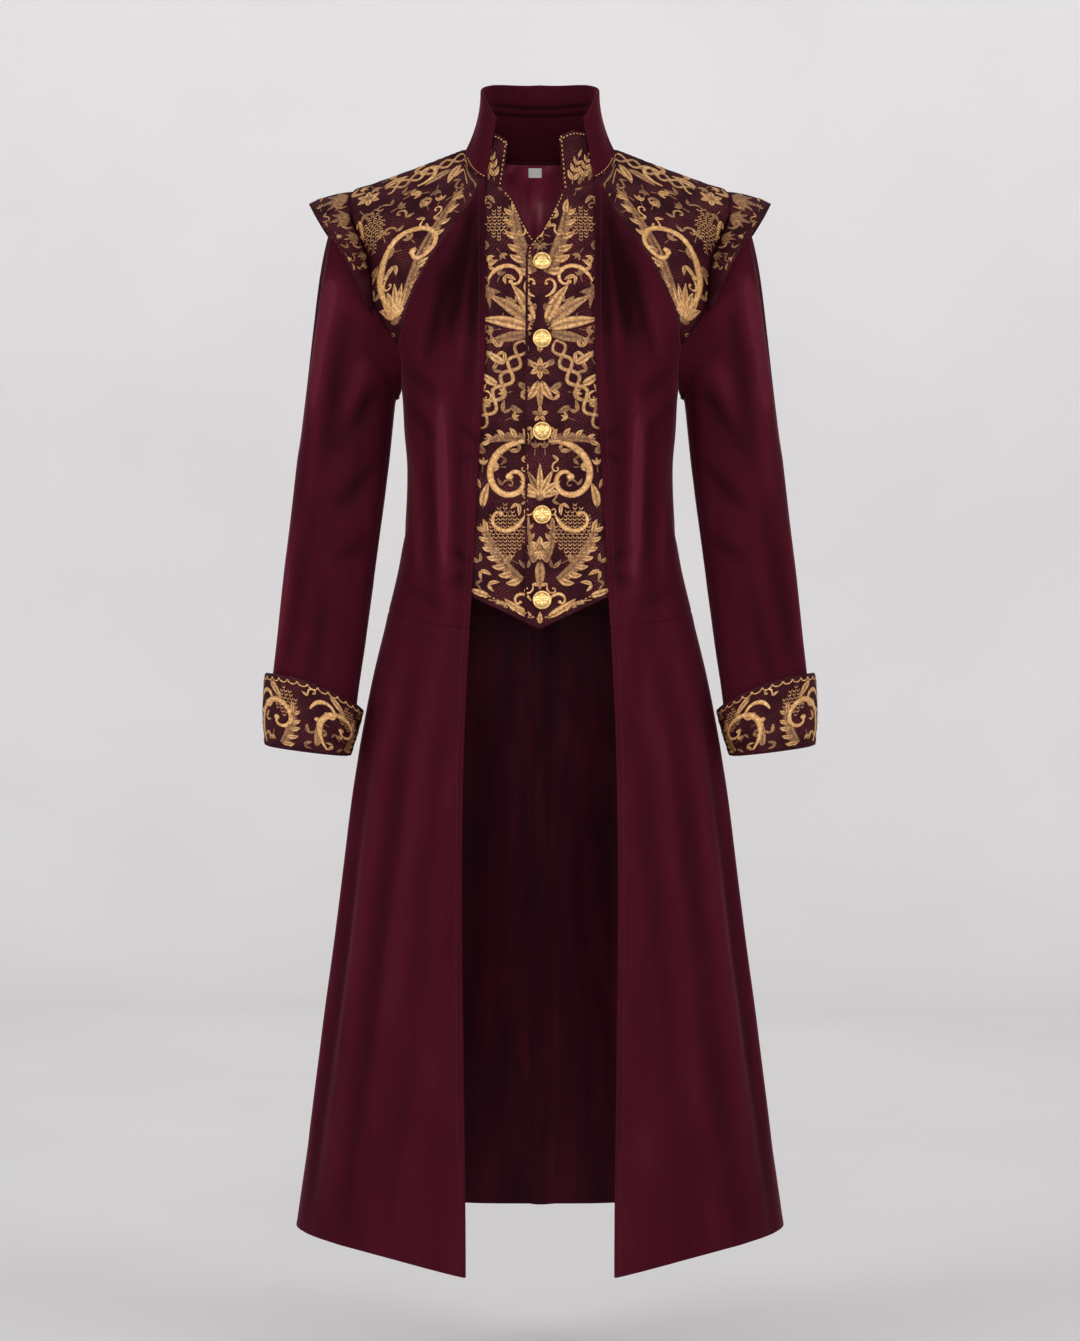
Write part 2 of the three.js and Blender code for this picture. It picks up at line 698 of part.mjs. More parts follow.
// A point of the collar's outer face, from the neck seam to a given height, moved in by an inset.
function collarPoint(angle, z, inset = 0) {
  const base = bodyPoint(angle, NECK);
  const rimZ = collarHeight(angle).z;
  const up = (z - base.z) / (rimZ - base.z);
  const hollow = mix(up, 1 - (1 - up) ** 2, ease(COLLAR_FRONT, 90, angle));
  const neck = bodyRing(NECK);
  const { x, y } = oval(angle, {
    halfWidth: mix(neck.halfWidth, COLLAR_RIM.halfWidth, hollow) - inset,
    frontDepth: mix(neck.frontDepth, COLLAR_RIM.frontDepth, hollow) - inset,
    backDepth: mix(neck.backDepth, COLLAR_RIM.backDepth, hollow) - inset,
    round: 1,
  });
  return new THREE.Vector3(x, y, z);
}

function levelNormal(surface, angle) {
  const along = surface(angle + 0.5).sub(surface(angle - 0.5));
  return new THREE.Vector3(along.y, -along.x, 0).normalize();
}

function collarRows() {
  return range(COLLAR_ROWS).map((up) => range(COLLAR_COLUMNS).map((share) => {
    const angle = mix(COLLAR_FRONT, 360 - COLLAR_FRONT, share);
    const half = Math.min(angle, 360 - angle);
    const z = mix(bodyPoint(half, NECK).z + 2 * SEAM_GAP, collarHeight(half).z, up);
    const point = collarPoint(half, z);
    const normal = levelNormal((turn) => collarPoint(turn, z), half);
    const sign = angle > 180 ? -1 : 1;
    point.x *= sign;
    normal.x *= sign;
    return { point, normal };
  }));
}

// Vest

function vestHemLevel(angle) {
  return solveRising((at) => {
    const point = bodyPoint(angle, at);
    return VEST_HEM.pointZ + VEST_HEM.rise * Math.abs(point.x) - point.z;
  }, UNDERARM, HEM);
}

// One half of the vest: level lines from the neck to the V-shaped hem.
function vestRows(side) {
  const innerEdge = vestEdge[side];
  const outerEdge = (depth) => frontEdge(depth).x + VEST_OUTER_REACH;
  return range(VEST_ROWS).map((row) => {
    const down = mix(row, row ** VEST_CROWDING.power, VEST_CROWDING.share);
    const levelAt = (angle) => mix(VEST_TOP, vestHemLevel(angle), down);
    const inner = angleAtEdge(innerEdge, levelAt);
    const outer = angleAtEdge(outerEdge, levelAt, VEST_WIDEST_ANGLE);
    return range(VEST_COLUMNS).map((share) => {
      const angle = mix(inner, outer, share);
      const at = levelAt(angle);
      const { x, z } = bodyPoint(angle, at);
      return bodyCloth(angle, at, VEST_DEPTH + vestSink(side, x, -z, share));
    });
  });
}

// How much deeper than its face a place on the vest lies: under the other half, under the chest
// of the coat, and less deep along the edge sewn into the coat's front.
function vestSink(side, x, depth, share) {
  const crossed = side === 'right' ? 1 - ease(UNDERLAP.toX, UNDERLAP.fromX, x) : 0;
  const lapped = crossed * ease(UNDERLAP.fromDepth, UNDERLAP.toDepth, depth);
  const covered = 1 - ease(HIDDEN_CHEST.untilDepth, HIDDEN_CHEST.goneDepth, depth);
  const hidden = ease(HIDDEN_CHEST.fromX, HIDDEN_CHEST.toX, x) * covered;
  const sewn = ease(SEWN_EDGE.fromShare, 1, share) * ease(SEWN_EDGE.fromDepth, SEWN_EDGE.toDepth, depth);
  return lapped * (VEST_UNDERLAP_DEPTH - VEST_DEPTH)
    + hidden * VEST_CHEST_EASE
    - sewn * (VEST_DEPTH - VEST_SEAM_DEPTH);
}

// The first row is the seam on the vest; above it the collar breaks upright and rises to its rim.
function vestCollarRows(side) {
  const { front, rim } = vestCollar[side];
  const { share: breakShare, lift, slopeAt } = VEST_COLLAR_BREAK;
  return range(VEST_COLLAR_GRID.rows).map((up) => range(VEST_COLLAR_GRID.columns).map((share) => {
    const angle = mix(front, VEST_COLLAR_END, share);
    const seam = bodyCloth(angle, VEST_TOP, VEST_DEPTH);
    const seamUp = bodyPoint(angle, NECK).sub(bodyPoint(angle, slopeAt)).normalize();
    const low = seam.point.addScaledVector(seamUp, SEAM_GAP);
    const risen = Math.max(up - breakShare, 0) / (1 - breakShare);
    const z = mix(bodyPoint(angle, NECK).z + lift, rim(angle).z, risen);
    const point = up === 0 ? low : collarPoint(angle, z, VEST_COLLAR_INSET);
    return { point, normal: levelNormal((turn) => collarPoint(turn, z), angle) };
  }));
}

// A domed shank button with a raised rim, its back at the origin and its axis along Z.
function buttonGeometry() {
  const { radius, height, sides, chamfer, rim, groove, dome } = BUTTON;
  const profile = [
    new THREE.Vector2(0, 0),
    new THREE.Vector2(radius - chamfer, 0),
    new THREE.Vector2(radius, chamfer),
    new THREE.Vector2(radius, rim.side),
    new THREE.Vector2(radius - rim.width, rim.top),
    new THREE.Vector2(radius - rim.width - groove.width, groove.z),
    new THREE.Vector2(dome.radius, dome.z),
    new THREE.Vector2(0, height),
  ];
  const geometry = new THREE.LatheGeometry(profile, sides);
  return geometry.rotateX(Math.PI / 2);
}

function button(index) {
  const place = placeSeen(BUTTON.x, BUTTON_HEIGHTS[index], false);
  const seat = bodyCloth(place.angle, place.at, VEST_DEPTH - 2 * SEAM_GAP);
  const mesh = new THREE.Mesh(buttonGeometry(), MATERIALS.gold);
  mesh.name = `button_${index + 1}`;
  mesh.position.copy(seat.point);
  mesh.quaternion.setFromUnitVectors(new THREE.Vector3(0, 0, 1), seat.normal);
  return mesh;
}

// Lining and label

function liningDepth(angle, at) {
  const across = 1 - ease(0, PLEAT.halfAngle, Math.abs(angle - 180));
  const down = ease(PLEAT.startAt, PLEAT.fullAt, at) * (1 - ease(PLEAT.fadeAt, PLEAT.goneAt, at));
  const sunk = ease(LINING_SINK.fromAt, LINING_SINK.toAt, at);
  return mix(LINING_TOP_DEPTH, LINING_DEPTH, sunk) + PLEAT.depth * across * down;
}

function liningRows() {
  const pleatColumns = [180 - PLEAT.halfAngle, 180, 180 + PLEAT.halfAngle];
  const sideColumns = range(LINING.columns / 2 - 2).map((share) => {
    return mix(LINING.from, 180 - PLEAT.clearAngle, share);
  });
  const columns = [...sideColumns, ...pleatColumns, ...sideColumns.map((angle) => 360 - angle).reverse()];
  return range(LINING.rows).map((down) => columns.map((angle) => {
    const half = Math.min(angle, 360 - angle);
    const at = mix(LINING.top, LINING.bottom, down ** LINING.crowding);
    const place = bodyCloth(half, at, liningDepth(half, at));
    if (angle <= 180) return place;
    const flip = new THREE.Vector3(-1, 1, 1);
    return { point: place.point.multiply(flip), normal: place.normal.multiply(flip) };
  }));
}

function labelRows() {
  return range(2).map((down) => range(3).map((across) => {
    const x = LABEL.x + LABEL.width * (across - 0.5);
    const z = LABEL.z + LABEL.height * (0.5 - down);
    const place = placeSeen(Math.abs(x), z, true);
    const depth = liningDepth(place.angle, place.at) + THICKNESS.lining + 2 * SEAM_GAP;
    const seat = bodyCloth(place.angle, place.at, depth);
    const sign = Math.sign(x);
    seat.point.x *= sign;
    seat.normal.x *= sign;
    return seat;
  }));
}

// The whole coat

function buildCoat() {
  const coat = new THREE.Group();
  const add = (name, rows, thickness, material) => coat.add(clothMesh(name, rows, thickness, material));
  const panels = [
    ['front_bodice', bodiceFrontRows, THICKNESS.shell, MATERIALS.velvet],
    ['back_bodice', bodiceBackRows, THICKNESS.shell, MATERIALS.velvet],
    ['front_skirt', skirtFrontRows, THICKNESS.shell, MATERIALS.velvet],
    ['yoke', yokeRows, THICKNESS.shell, MATERIALS.brocade],
    ['wing', wingRows, THICKNESS.wing, MATERIALS.brocade],
    ['upper_sleeve', upperSleeveRows, THICKNESS.sleeve, MATERIALS.velvet],
    ['under_sleeve', underSleeveRows, THICKNESS.sleeve, MATERIALS.velvet],
    ['cuff', cuffRows, THICKNESS.cuff, MATERIALS.brocade],
  ];
  SIDES.forEach(({ side, sign }) => {
    panels.forEach(([name, rows, thickness, material]) => {
      add(`${name}_${side}`, onSide(trimSeams(rows()), sign), thickness, material);
    });
    const skirtBack = trimSeams(skirtBackRows(side === 'left'));
    add(`back_skirt_${side}`, onSide(skirtBack, sign), THICKNESS.shell, MATERIALS.velvet);
    add(`vest_${side}`, onSide(vestRows(side), sign), THICKNESS.vest, MATERIALS.brocade);
    const vestCollarGrid = onSide(vestCollarRows(side), sign);
    add(`vest_collar_${side}`, vestCollarGrid, THICKNESS.vestCollar, MATERIALS.brocade);
  });
  add('collar', collarRows(), THICKNESS.collar, MATERIALS.velvet);
  add('back_lining', liningRows(), THICKNESS.lining, MATERIALS.satin);
  add('label', labelRows(), THICKNESS.label, MATERIALS.label);
  BUTTON_HEIGHTS.forEach((_, index) => coat.add(button(index)));
  return coat;
}

export default buildCoat();
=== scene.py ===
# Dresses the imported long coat: velvet and brocade panels with their folds, seams and stitches.
# Shapes are worked out in millimetres and scaled to metres when a mesh is made.
import math
from collections import namedtuple

import bmesh
import bpy
import numpy as np
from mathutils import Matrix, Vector


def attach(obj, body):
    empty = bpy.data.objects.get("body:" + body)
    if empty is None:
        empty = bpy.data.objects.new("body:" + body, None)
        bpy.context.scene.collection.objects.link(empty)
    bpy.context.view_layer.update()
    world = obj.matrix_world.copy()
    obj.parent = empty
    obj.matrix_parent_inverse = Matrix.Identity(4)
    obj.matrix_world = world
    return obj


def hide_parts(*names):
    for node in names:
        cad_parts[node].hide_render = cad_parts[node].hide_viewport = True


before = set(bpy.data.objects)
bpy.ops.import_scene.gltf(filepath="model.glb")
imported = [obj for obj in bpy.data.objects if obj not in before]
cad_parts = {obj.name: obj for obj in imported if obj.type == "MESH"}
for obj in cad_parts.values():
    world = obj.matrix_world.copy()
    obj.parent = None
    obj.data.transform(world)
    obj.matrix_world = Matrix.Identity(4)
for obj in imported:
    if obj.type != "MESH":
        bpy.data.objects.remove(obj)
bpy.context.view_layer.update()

BODY = "root"
MM = 0.001
SIDES = [("left", 1), ("right", -1)]

# Thickness of the pieces and the depth of the hidden layers, as in the frame.
SHELL = 2.2
SLEEVE_WALL = 2.0
COLLAR_WALL = 3.2
WING_WALL = 2.2
CUFF_WALL = 2.2
VEST_WALL = 2.0
VEST_COLLAR_WALL = 1.8
LINING_WALL = 1.0
LABEL_WALL = 0.6
SEAM_GAP = 0.3
LAYER_GAP = 0.9
VEST_DEPTH = 3.7
VEST_UNDERLAP_DEPTH = VEST_DEPTH + VEST_WALL + LAYER_GAP
VEST_SEAM_DEPTH = SHELL + 0.7
VEST_CHEST_EASE = 3
LINING_DEPTH = 4.6
LINING_TOP_DEPTH = 3.0

# The camera: level, in front of the coat, framed as in the photo.
CAMERA_DISTANCE = 3500
CAMERA_HEIGHT = -609
CAMERA_LENS = 80.3
CAMERA_SENSOR = 36
FLOOR_HEIGHT = -1450


def mix(a, b, share):
    return a + (b - a) * share


def ease(low, high, value):
    share = np.clip((np.asarray(value, dtype=float) - low) / (high - low), 0, 1)
    return share * share * (3 - 2 * share)


def unit(vectors):
    return vectors / np.maximum(np.linalg.norm(vectors, axis=-1, keepdims=True), 1e-9)


def smooth_table(columns, rows):
    """A table as a smooth function of its first column, giving an array for each other column."""
    table = np.array(rows, dtype=float)
    at = table[:, 0]
    steps = np.diff(at)[:, None]
    rises = np.diff(table, axis=0) / steps
    slopes = np.empty_like(table)
    slopes[0] = rises[0]
    slopes[-1] = rises[-1]
    slopes[1:-1] = (rises[:-1] * steps[1:] + rises[1:] * steps[:-1]) / (steps[:-1] + steps[1:])

    def value(where):
        where = np.asarray(where, dtype=float)
        i = np.clip(np.searchsorted(at, where) - 1, 0, len(at) - 2)
        step = at[i + 1] - at[i]
        u = np.clip((where - at[i]) / step, 0, 1)
        result = {}
        for column, name in enumerate(columns):
            low = table[i, column] * (1 + 2 * u) + slopes[i, column] * step * u
            high = table[i + 1, column] * (3 - 2 * u) - slopes[i + 1, column] * step * (1 - u)
            result[name] = low * (1 - u) ** 2 + high * u**2
        return result

    return value


def line_table(rows):
    """A table of x by depth as straight stretches."""
    table = np.array(rows, dtype=float)
    return lambda depth: np.interp(depth, table[:, 0], table[:, 1])


def solve_rising(rising, low, high):
    """Where a rising function of arrays passes zero, between two arrays of bounds."""
    low, high = np.array(low, dtype=float), np.array(high, dtype=float)
    for _ in range(36):
        middle = (low + high) / 2
        above = rising(middle) > 0
        high = np.where(above, middle, high)
        low = np.where(above, low, middle)
    return (low + high) / 2


# The coat's form, from the same tables as the frame.
NECK = 0
SHOULDER_POINT = 2
UNDERARM = 6
WAIST_SEAM = 11
HEM = 18
body_ring = smooth_table(
    ["at", "side_z", "front_z", "back_z", "half_width", "front_depth", "back_depth", "dip", "round"],
    [
        [NECK, 2, -58, 0, 86, 78, 72, 0.8, 1],
        [1, -23.5, -108, -38, 153, 102, 98, 1, 1],
        [1.6, -38.5, -133, -69, 193.5, 112, 106.5, 1.1, 1],
        [SHOULDER_POINT, -48.5, -150, -90, 220.5, 118, 112, 1.2, 0.98],
        [3, -115, -190, -150, 211, 124, 118, 1.3, 0.94],
        [4, -180, -225, -200, 208, 127, 119, 1.5, 0.9],
        [5, -232, -255, -245, 173.5, 128, 116, 1.5, 0.86],
        [UNDERARM, -280, -285, -282, 162, 127, 111, 1.5, 0.84],
        [7, -330, -330, -330, 158.5, 122, 101, 1.5, 0.84],
        [8, -374, -374, -374, 155, 115, 93, 1.5, 0.86],
        [9, -430, -431, -430, 157, 114, 95, 1.5, 0.88],
        [10, -485, -490, -485, 164.4, 119, 106, 1.5, 0.9],
        [WAIST_SEAM, -540, -565, -540, 177.3, 127, 119, 1.5, 0.92],
        [12, -620, -646, -621, 196, 138, 134, 2, 0.95],
        [13, -700, -727, -702, 211, 148, 148, 2.5, 0.97],
        [14, -780, -808, -784, 223.5, 157, 160, 3, 1],
        [15, -900, -929, -906, 238, 169, 176, 4, 1],
        [16, -1020, -1050, -1029, 254, 182, 192, 5, 1],
        [17, -1140, -1171, -1152, 270, 195, 207, 5.5, 1],
        [HEM, -1254.5, -1287, -1271, 285, 207, 222, 6, 1],
    ],
)
FLUTES_ROUND = 8
FLUTE_FRONT, FLUTE_BACK = 2, 10
FLUTE_FROM_ANGLE, FLUTE_TO_ANGLE = 60, 150
ARMHOLE_SWING = 24
YOKE_TIP = 120
front_edge = smooth_table(
    ["at", "x"],
    [
        [40, 64.7],
        [100, 64],
        [200, 62.9],
        [300, 65.5],
        [335, 68.3],
        [447, 75.1],
        [520, 78.7],
        [562, 81.2],
        [640, 84.9],
        [1290, 83.2],
    ],
)
YOKE_FRONT_EDGE = [(67, -45), (78.5, -68.5), (105.5, -110), (136.3, -161.7), (149.3, -188), (163, -235)]
YOKE_BACK_EDGE = [(40, 0), (60, -30), (90, -75), (125, -130), (150, -180), (165, -236)]


def oval(angle, half_width, front_depth, back_depth, roundness):
    s, c = np.sin(np.radians(angle)), np.cos(np.radians(angle))
    x = half_width * np.sign(s) * np.abs(s) ** roundness
    depth = np.where(c > 0, front_depth, back_depth)
    return x, -np.sign(c) * depth * np.abs(c) ** roundness


def flute_depth(angle, at):
    back_share = ease(FLUTE_FROM_ANGLE, FLUTE_TO_ANGLE, 180 - np.abs(180 - angle))
    depth = mix(FLUTE_FRONT, FLUTE_BACK, back_share) * ease(WAIST_SEAM, HEM, at)
    return depth * (1 - np.cos(np.radians(FLUTES_ROUND * angle))) / 2


def body_point(angle, at):
    """Outer face of the body: degrees from the front by the wearer's left, rings from neck to hem."""
    angle, at = np.broadcast_arrays(np.asarray(angle, dtype=float), np.asarray(at, dtype=float))
    ring = body_ring(at)
    c = np.cos(np.radians(angle))
    x, y = oval(angle, ring["half_width"], ring["front_depth"], ring["back_depth"], ring["round"])
    end_z = np.where(c > 0, ring["front_z"], ring["back_z"])
    z = mix(ring["side_z"], end_z, np.abs(c) ** ring["dip"])
    shrink = 1 - flute_depth(angle, at) / np.hypot(x, y)
    return np.stack([x * shrink, y * shrink, z], axis=-1)


def surface_normal(surface, u, v, low, high):
    along_u = surface(u + 0.5, v) - surface(u - 0.5, v)
    along_v = surface(u, np.minimum(v + 0.02, high)) - surface(u, np.maximum(v - 0.02, low))
    return unit(np.cross(along_v, along_u))


def body_cloth(angle, at, depth=0):
    """Points of the body moved in by a depth, and their outward directions."""
    angle, at = np.broadcast_arrays(np.asarray(angle, dtype=float), np.asarray(at, dtype=float))
    normal = surface_normal(body_point, angle, at, NECK, HEM)
    return body_point(angle, at) - normal * np.asarray(depth, dtype=float)[..., None], normal


def place_seen(x, z, from_back=False):
    """The angle and ring on the body seen at x and z from the front or the back."""
    x, z = np.broadcast_arrays(np.asarray(x, dtype=float), np.asarray(z, dtype=float))

    def angle_at(at):
        ring = body_ring(at)
        share = np.minimum(np.abs(x) / ring["half_width"], 1) ** (1 / ring["round"])
        angle = np.sign(x) * np.degrees(np.arcsin(share))
        return 180 - angle if from_back else angle

    rising = lambda at: z - body_point(angle_at(at), at)[..., 2]
    at = solve_rising(rising, np.full(x.shape, NECK), np.full(x.shape, HEM))
    return angle_at(at), at


def ring_at_height(angle, z):
    """The ring at which the body passes a height, at an angle."""
    angle, z = np.broadcast_arrays(np.asarray(angle, dtype=float), np.asarray(z, dtype=float))
    rising = lambda at: z - body_point(angle, at)[..., 2]
    return solve_rising(rising, np.full(z.shape, NECK), np.full(z.shape, HEM))


def armhole(turn):
    """The armhole loop: 0 degrees at the shoulder point, 90 in front, 180 under the arm."""
    turn = np.asarray(turn, dtype=float)
    angle = 90 - ARMHOLE_SWING * np.sin(np.radians(turn))
    return angle, mix(SHOULDER_POINT, UNDERARM, (1 - np.cos(np.radians(turn))) / 2)


def graded(count, size):
    """Shares along a panel of a given size in mm, with close steps for the seam at both ends."""
    close = np.array([0, 1.2, 2.6, 4.4, 5.2, 6.0, 6.8, 8.2]) / size
    inner = np.linspace(10.5 / size, 1 - 10.5 / size, count)
    return np.concatenate([close, inner, 1 - close[::-1]])


# Creases


def nearest_on_line(points, line):
    """Distance of each point to a line of straight stretches, and its share along the line."""
    best = np.full(points.shape[:-1], np.inf)
    share = np.zeros(points.shape[:-1])
    stretches = len(line) - 1
    for k in range(stretches):
        run = line[k + 1] - line[k]
        t = np.clip(((points - line[k]) @ run) / (run @ run), 0, 1)
        distance = np.linalg.norm(points - line[k] - t[..., None] * run, axis=-1)
        closer = distance < best
        best = np.where(closer, distance, best)
        share = np.where(closer, (k + t) / stretches, share)
    return best, share


def crease_depth(points, surface, creases):
    """How far soft troughs along lines of the surface press each point in; a ridge is a negative depth."""
    total = np.zeros(points.shape[:-1])
    share = np.linspace(0, 1, 15)
    for start, end, width, depth in creases:
        line = surface(mix(start[0], end[0], share), mix(start[1], end[1], share))
        distance, along = nearest_on_line(points, line)
        fade = np.sin(np.pi * np.clip(along, 0.001, 0.999)) ** 0.6
        total += depth * np.exp(-((distance / width) ** 2)) * fade
    return total


def unevenness(points, size):
    """The slight unevenness of hung cloth."""
    x, y, z = points[..., 0], points[..., 1], points[..., 2]
    waves = np.sin(x / 17 + z / 61) + np.sin(z / 43 - y / 21 + 1.7) + 0.6 * np.sin(x / 9.5 - z / 27 + y / 13)
    return size * waves / 2.6


# Cloth walls


def arc_lengths(points, axis):
    steps = np.linalg.norm(np.diff(points, axis=axis), axis=-1)
    start = np.zeros_like(np.take(steps, [0], axis=axis))
    return np.cumsum(np.concatenate([start, steps], axis=axis), axis=axis)


def edge_distances(points):
    across = arc_lengths(points, 1)
    down = arc_lengths(points, 0)
    return {"first": across, "last": across[:, -1:] - across, "top": down, "bottom": down[-1:] - down}


# How far a sewn side rolls in and over what width, where the topstitch runs and the dent that it pulls.
SEAM_ROLL, SEAM_ROLL_WIDTH = 0.75, 1.7
TOPSTITCH, STITCH_DENT, STITCH_DENT_WIDTH = 6.0, 0.4, 0.8


def press_seams(points, normals, sewn, topstitched=()):
    """Rolls the sewn sides of a panel in, and presses a line under each row of topstitch."""
    distances = edge_distances(points)
    press = np.zeros(points.shape[:-1])
    for side in sewn:
        press += SEAM_ROLL * np.exp(-distances[side] / SEAM_ROLL_WIDTH)
    for side in topstitched:
        press += STITCH_DENT * np.exp(-(((distances[side] - TOPSTITCH) / STITCH_DENT_WIDTH) ** 2))
    return points - normals * press[..., None]


# Steps round the rim of a wall, and how far the rim bulges at free and at sewn sides.
RIM_STEPS = 3
FREE_BULGE, SEWN_BULGE = 0.5, 0.08


def boundary_indices(rows, columns):
    top = [(0, j) for j in range(columns - 1)]
    last = [(i, columns - 1) for i in range(rows - 1)]
    bottom = [(rows - 1, j) for j in range(columns - 1, 0, -1)]
    first = [(i, 0) for i in range(rows - 1, 0, -1)]
    return top + last + bottom + first


def sides_of(i, j, rows, columns):
    sides = {"top": i == 0, "bottom": i == rows - 1, "first": j == 0, "last": j == columns - 1}
    return {side for side, on in sides.items() if on}


def wall_mesh(name, points, normals, thickness, sewn=()):
    """A closed wall of cloth with rounded free edges: outer face, inner face and the rim between."""
    rows, columns = points.shape[:2]
    inner = points - normals * thickness
    uv = np.stack([arc_lengths(points, 1), -arc_lengths(points, 0)], axis=-1)
    vertices = [points.reshape(-1, 3), inner.reshape(-1, 3)]
    uvs = [uv.reshape(-1, 2), uv.reshape(-1, 2)]
    offset = rows * columns
    loop = boundary_indices(rows, columns)
    loops = [[i * columns + j for i, j in loop]]
    next_index = 2 * offset
    for k in range(1, RIM_STEPS + 1):
        turn = math.pi * k / (RIM_STEPS + 1)
        ring = []
        for i, j in loop:
            sides = sides_of(i, j, rows, columns)
            inside = points[min(max(i, 1), rows - 2), min(max(j, 1), columns - 2)]
            out = unit(points[i, j] - inside)
            bulge = SEWN_BULGE if sides & set(sewn) else FREE_BULGE
            centre = (points[i, j] + inner[i, j]) / 2
            lift = normals[i, j] * math.cos(turn) * thickness / 2
            ring.append(centre + lift + out * math.sin(turn) * thickness * bulge)
        vertices.append(np.array(ring))
        uvs.append(np.array([uv[i, j] for i, j in loop]))
        loops.append(list(range(next_index, next_index + len(loop))))
        next_index += len(loop)
    loops.append([offset + i * columns + j for i, j in loop])
    faces, slots = [], []
    for i in range(rows - 1):
        for j in range(columns - 1):
            a = i * columns + j
            faces.append((a, a + columns, a + columns + 1, a + 1))
            slots.append(0)
            faces.append((offset + a, offset + a + 1, offset + a + columns + 1, offset + a + columns))
            slots.append(1)
    for upper, lower in zip(loops[:-1], loops[1:]):
        for k in range(len(loop)):
            after = (k + 1) % len(loop)
            faces.append((upper[k], upper[after], lower[after], lower[k]))
            slots.append(0)
    return make_mesh(name, np.concatenate(vertices), faces, np.concatenate(uvs), slots)


def make_mesh(name, vertices, faces, uvs, slots=None):
    """A smooth mesh from arrays in mm, with the faces of a closed wall turned outwards."""
    vertices = np.asarray(vertices)
    if slots is not None:
        a, b, c, d = (vertices[[face[k] for face in faces]] for k in range(4))
        volume = np.einsum("ij,ij->", a, np.cross(b, c)) + np.einsum("ij,ij->", a, np.cross(c, d))
        if volume < 0:
            faces = [face[::-1] for face in faces]
    mesh = bpy.data.meshes.new(name)
    mesh.from_pydata((vertices * MM).tolist(), [], faces)
    layer = mesh.uv_layers.new(name="millimetres")
    corners = np.empty(len(mesh.loops), dtype=np.int32)
    mesh.loops.foreach_get("vertex_index", corners)
    layer.data.foreach_set("uv", np.asarray(uvs)[corners].astype(np.float32).ravel())
    mesh.polygons.foreach_set("use_smooth", [True] * len(mesh.polygons))
    if slots is not None:
        mesh.polygons.foreach_set("material_index", slots)
    mesh.update()
    return mesh


def add_object(name, mesh, materials):
    """Links a piece that rides on the coat, with the materials given."""
    for material in materials:
        mesh.materials.append(material)
    piece = bpy.data.objects.new(name, mesh)
    bpy.context.scene.collection.objects.link(piece)
    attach(piece, BODY)
    return piece


def flip(points, sign):
    return points * np.array([sign, 1, 1])


def flip_where(points, signs):
    """The points with each x turned by its own sign."""
    return np.concatenate([points[..., :1] * signs[..., None], points[..., 1:]], axis=-1)


def paint_shading(mesh, painted_shading):
    """Keeps on each vertex the velvet's painted shading: 0 is painted shade in the folds, 1 painted highlight
    on the ridges.
    """
    rim = np.array([painted_shading[place] for place in boundary_indices(*painted_shading.shape)])
    values = np.concatenate([painted_shading.ravel(), painted_shading.ravel()] + [rim] * RIM_STEPS)
    mesh.attributes.new("painted_shading", "FLOAT", "POINT").data.foreach_set("value", values.astype(np.float32))


def add_panel(
    node, points, normals, thickness, materials, slot, sign=1, sewn=(), held="hung", on="yoke_left", painted_shading=0.5
):
    """A panel of cloth in place of its node of the frame."""
    mesh = wall_mesh(f"{node}_cloth", flip(points, sign), flip(normals, sign), thickness, sewn)
    paint_shading(mesh, np.broadcast_to(np.clip(painted_shading, 0, 1), points.shape[:2]))
    piece = add_object(f"{node}_cloth", mesh, materials)
    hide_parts(node)
    return piece


# Materials


def linear(hex_colour):
    """An sRGB colour such as 4B1426 as linear red, green, blue and alpha."""
    channels = [int(hex_colour[k : k + 2], 16) / 255 for k in (0, 2, 4)]
    return (*[c / 12.92 if c <= 0.04045 else ((c + 0.055) / 1.055) ** 2.4 for c in channels], 1.0)


def add_node(tree, kind, inputs=None, stops=(), **settings):
    """Adds a node with its settings and the stops of a ramp; an input is a value, a node or its output."""
    node = tree.nodes.new(kind)
    for name, value in settings.items():
        setattr(node, name, value)
    for name, value in (inputs or {}).items():
        if isinstance(value, bpy.types.Node):
            value = next(socket for socket in value.outputs if socket.enabled)
        if isinstance(value, bpy.types.NodeSocket):
            tree.links.new(value, node.inputs[name])
        else:
            node.inputs[name].default_value = value
    for index, (position, colour) in enumerate(stops):
        elements = node.color_ramp.elements
        element = elements[index] if index < len(elements) else elements.new(position)
        element.position, element.color = position, linear(colour)
    return node


def new_material(name, finish, *choices):
    """A material whose finish function lays its nodes and gives its shader."""
    material = bpy.data.materials.new(name)
    material.use_nodes = True
    tree = material.node_tree
    tree.nodes.clear()
    place = add_node(tree, "ShaderNodeTexCoord").outputs["Object"]
    shader = finish(tree, place, *choices)
    add_node(tree, "ShaderNodeOutputMaterial", {"Surface": shader})
    return material


def lumps(size, detail, roughness=0.5, distortion=0.0):
    """Noise inputs for lumps of about a size in mm."""
    return {"Scale": 1 / (size * MM), "Detail": detail, "Roughness": roughness, "Distortion": distortion}


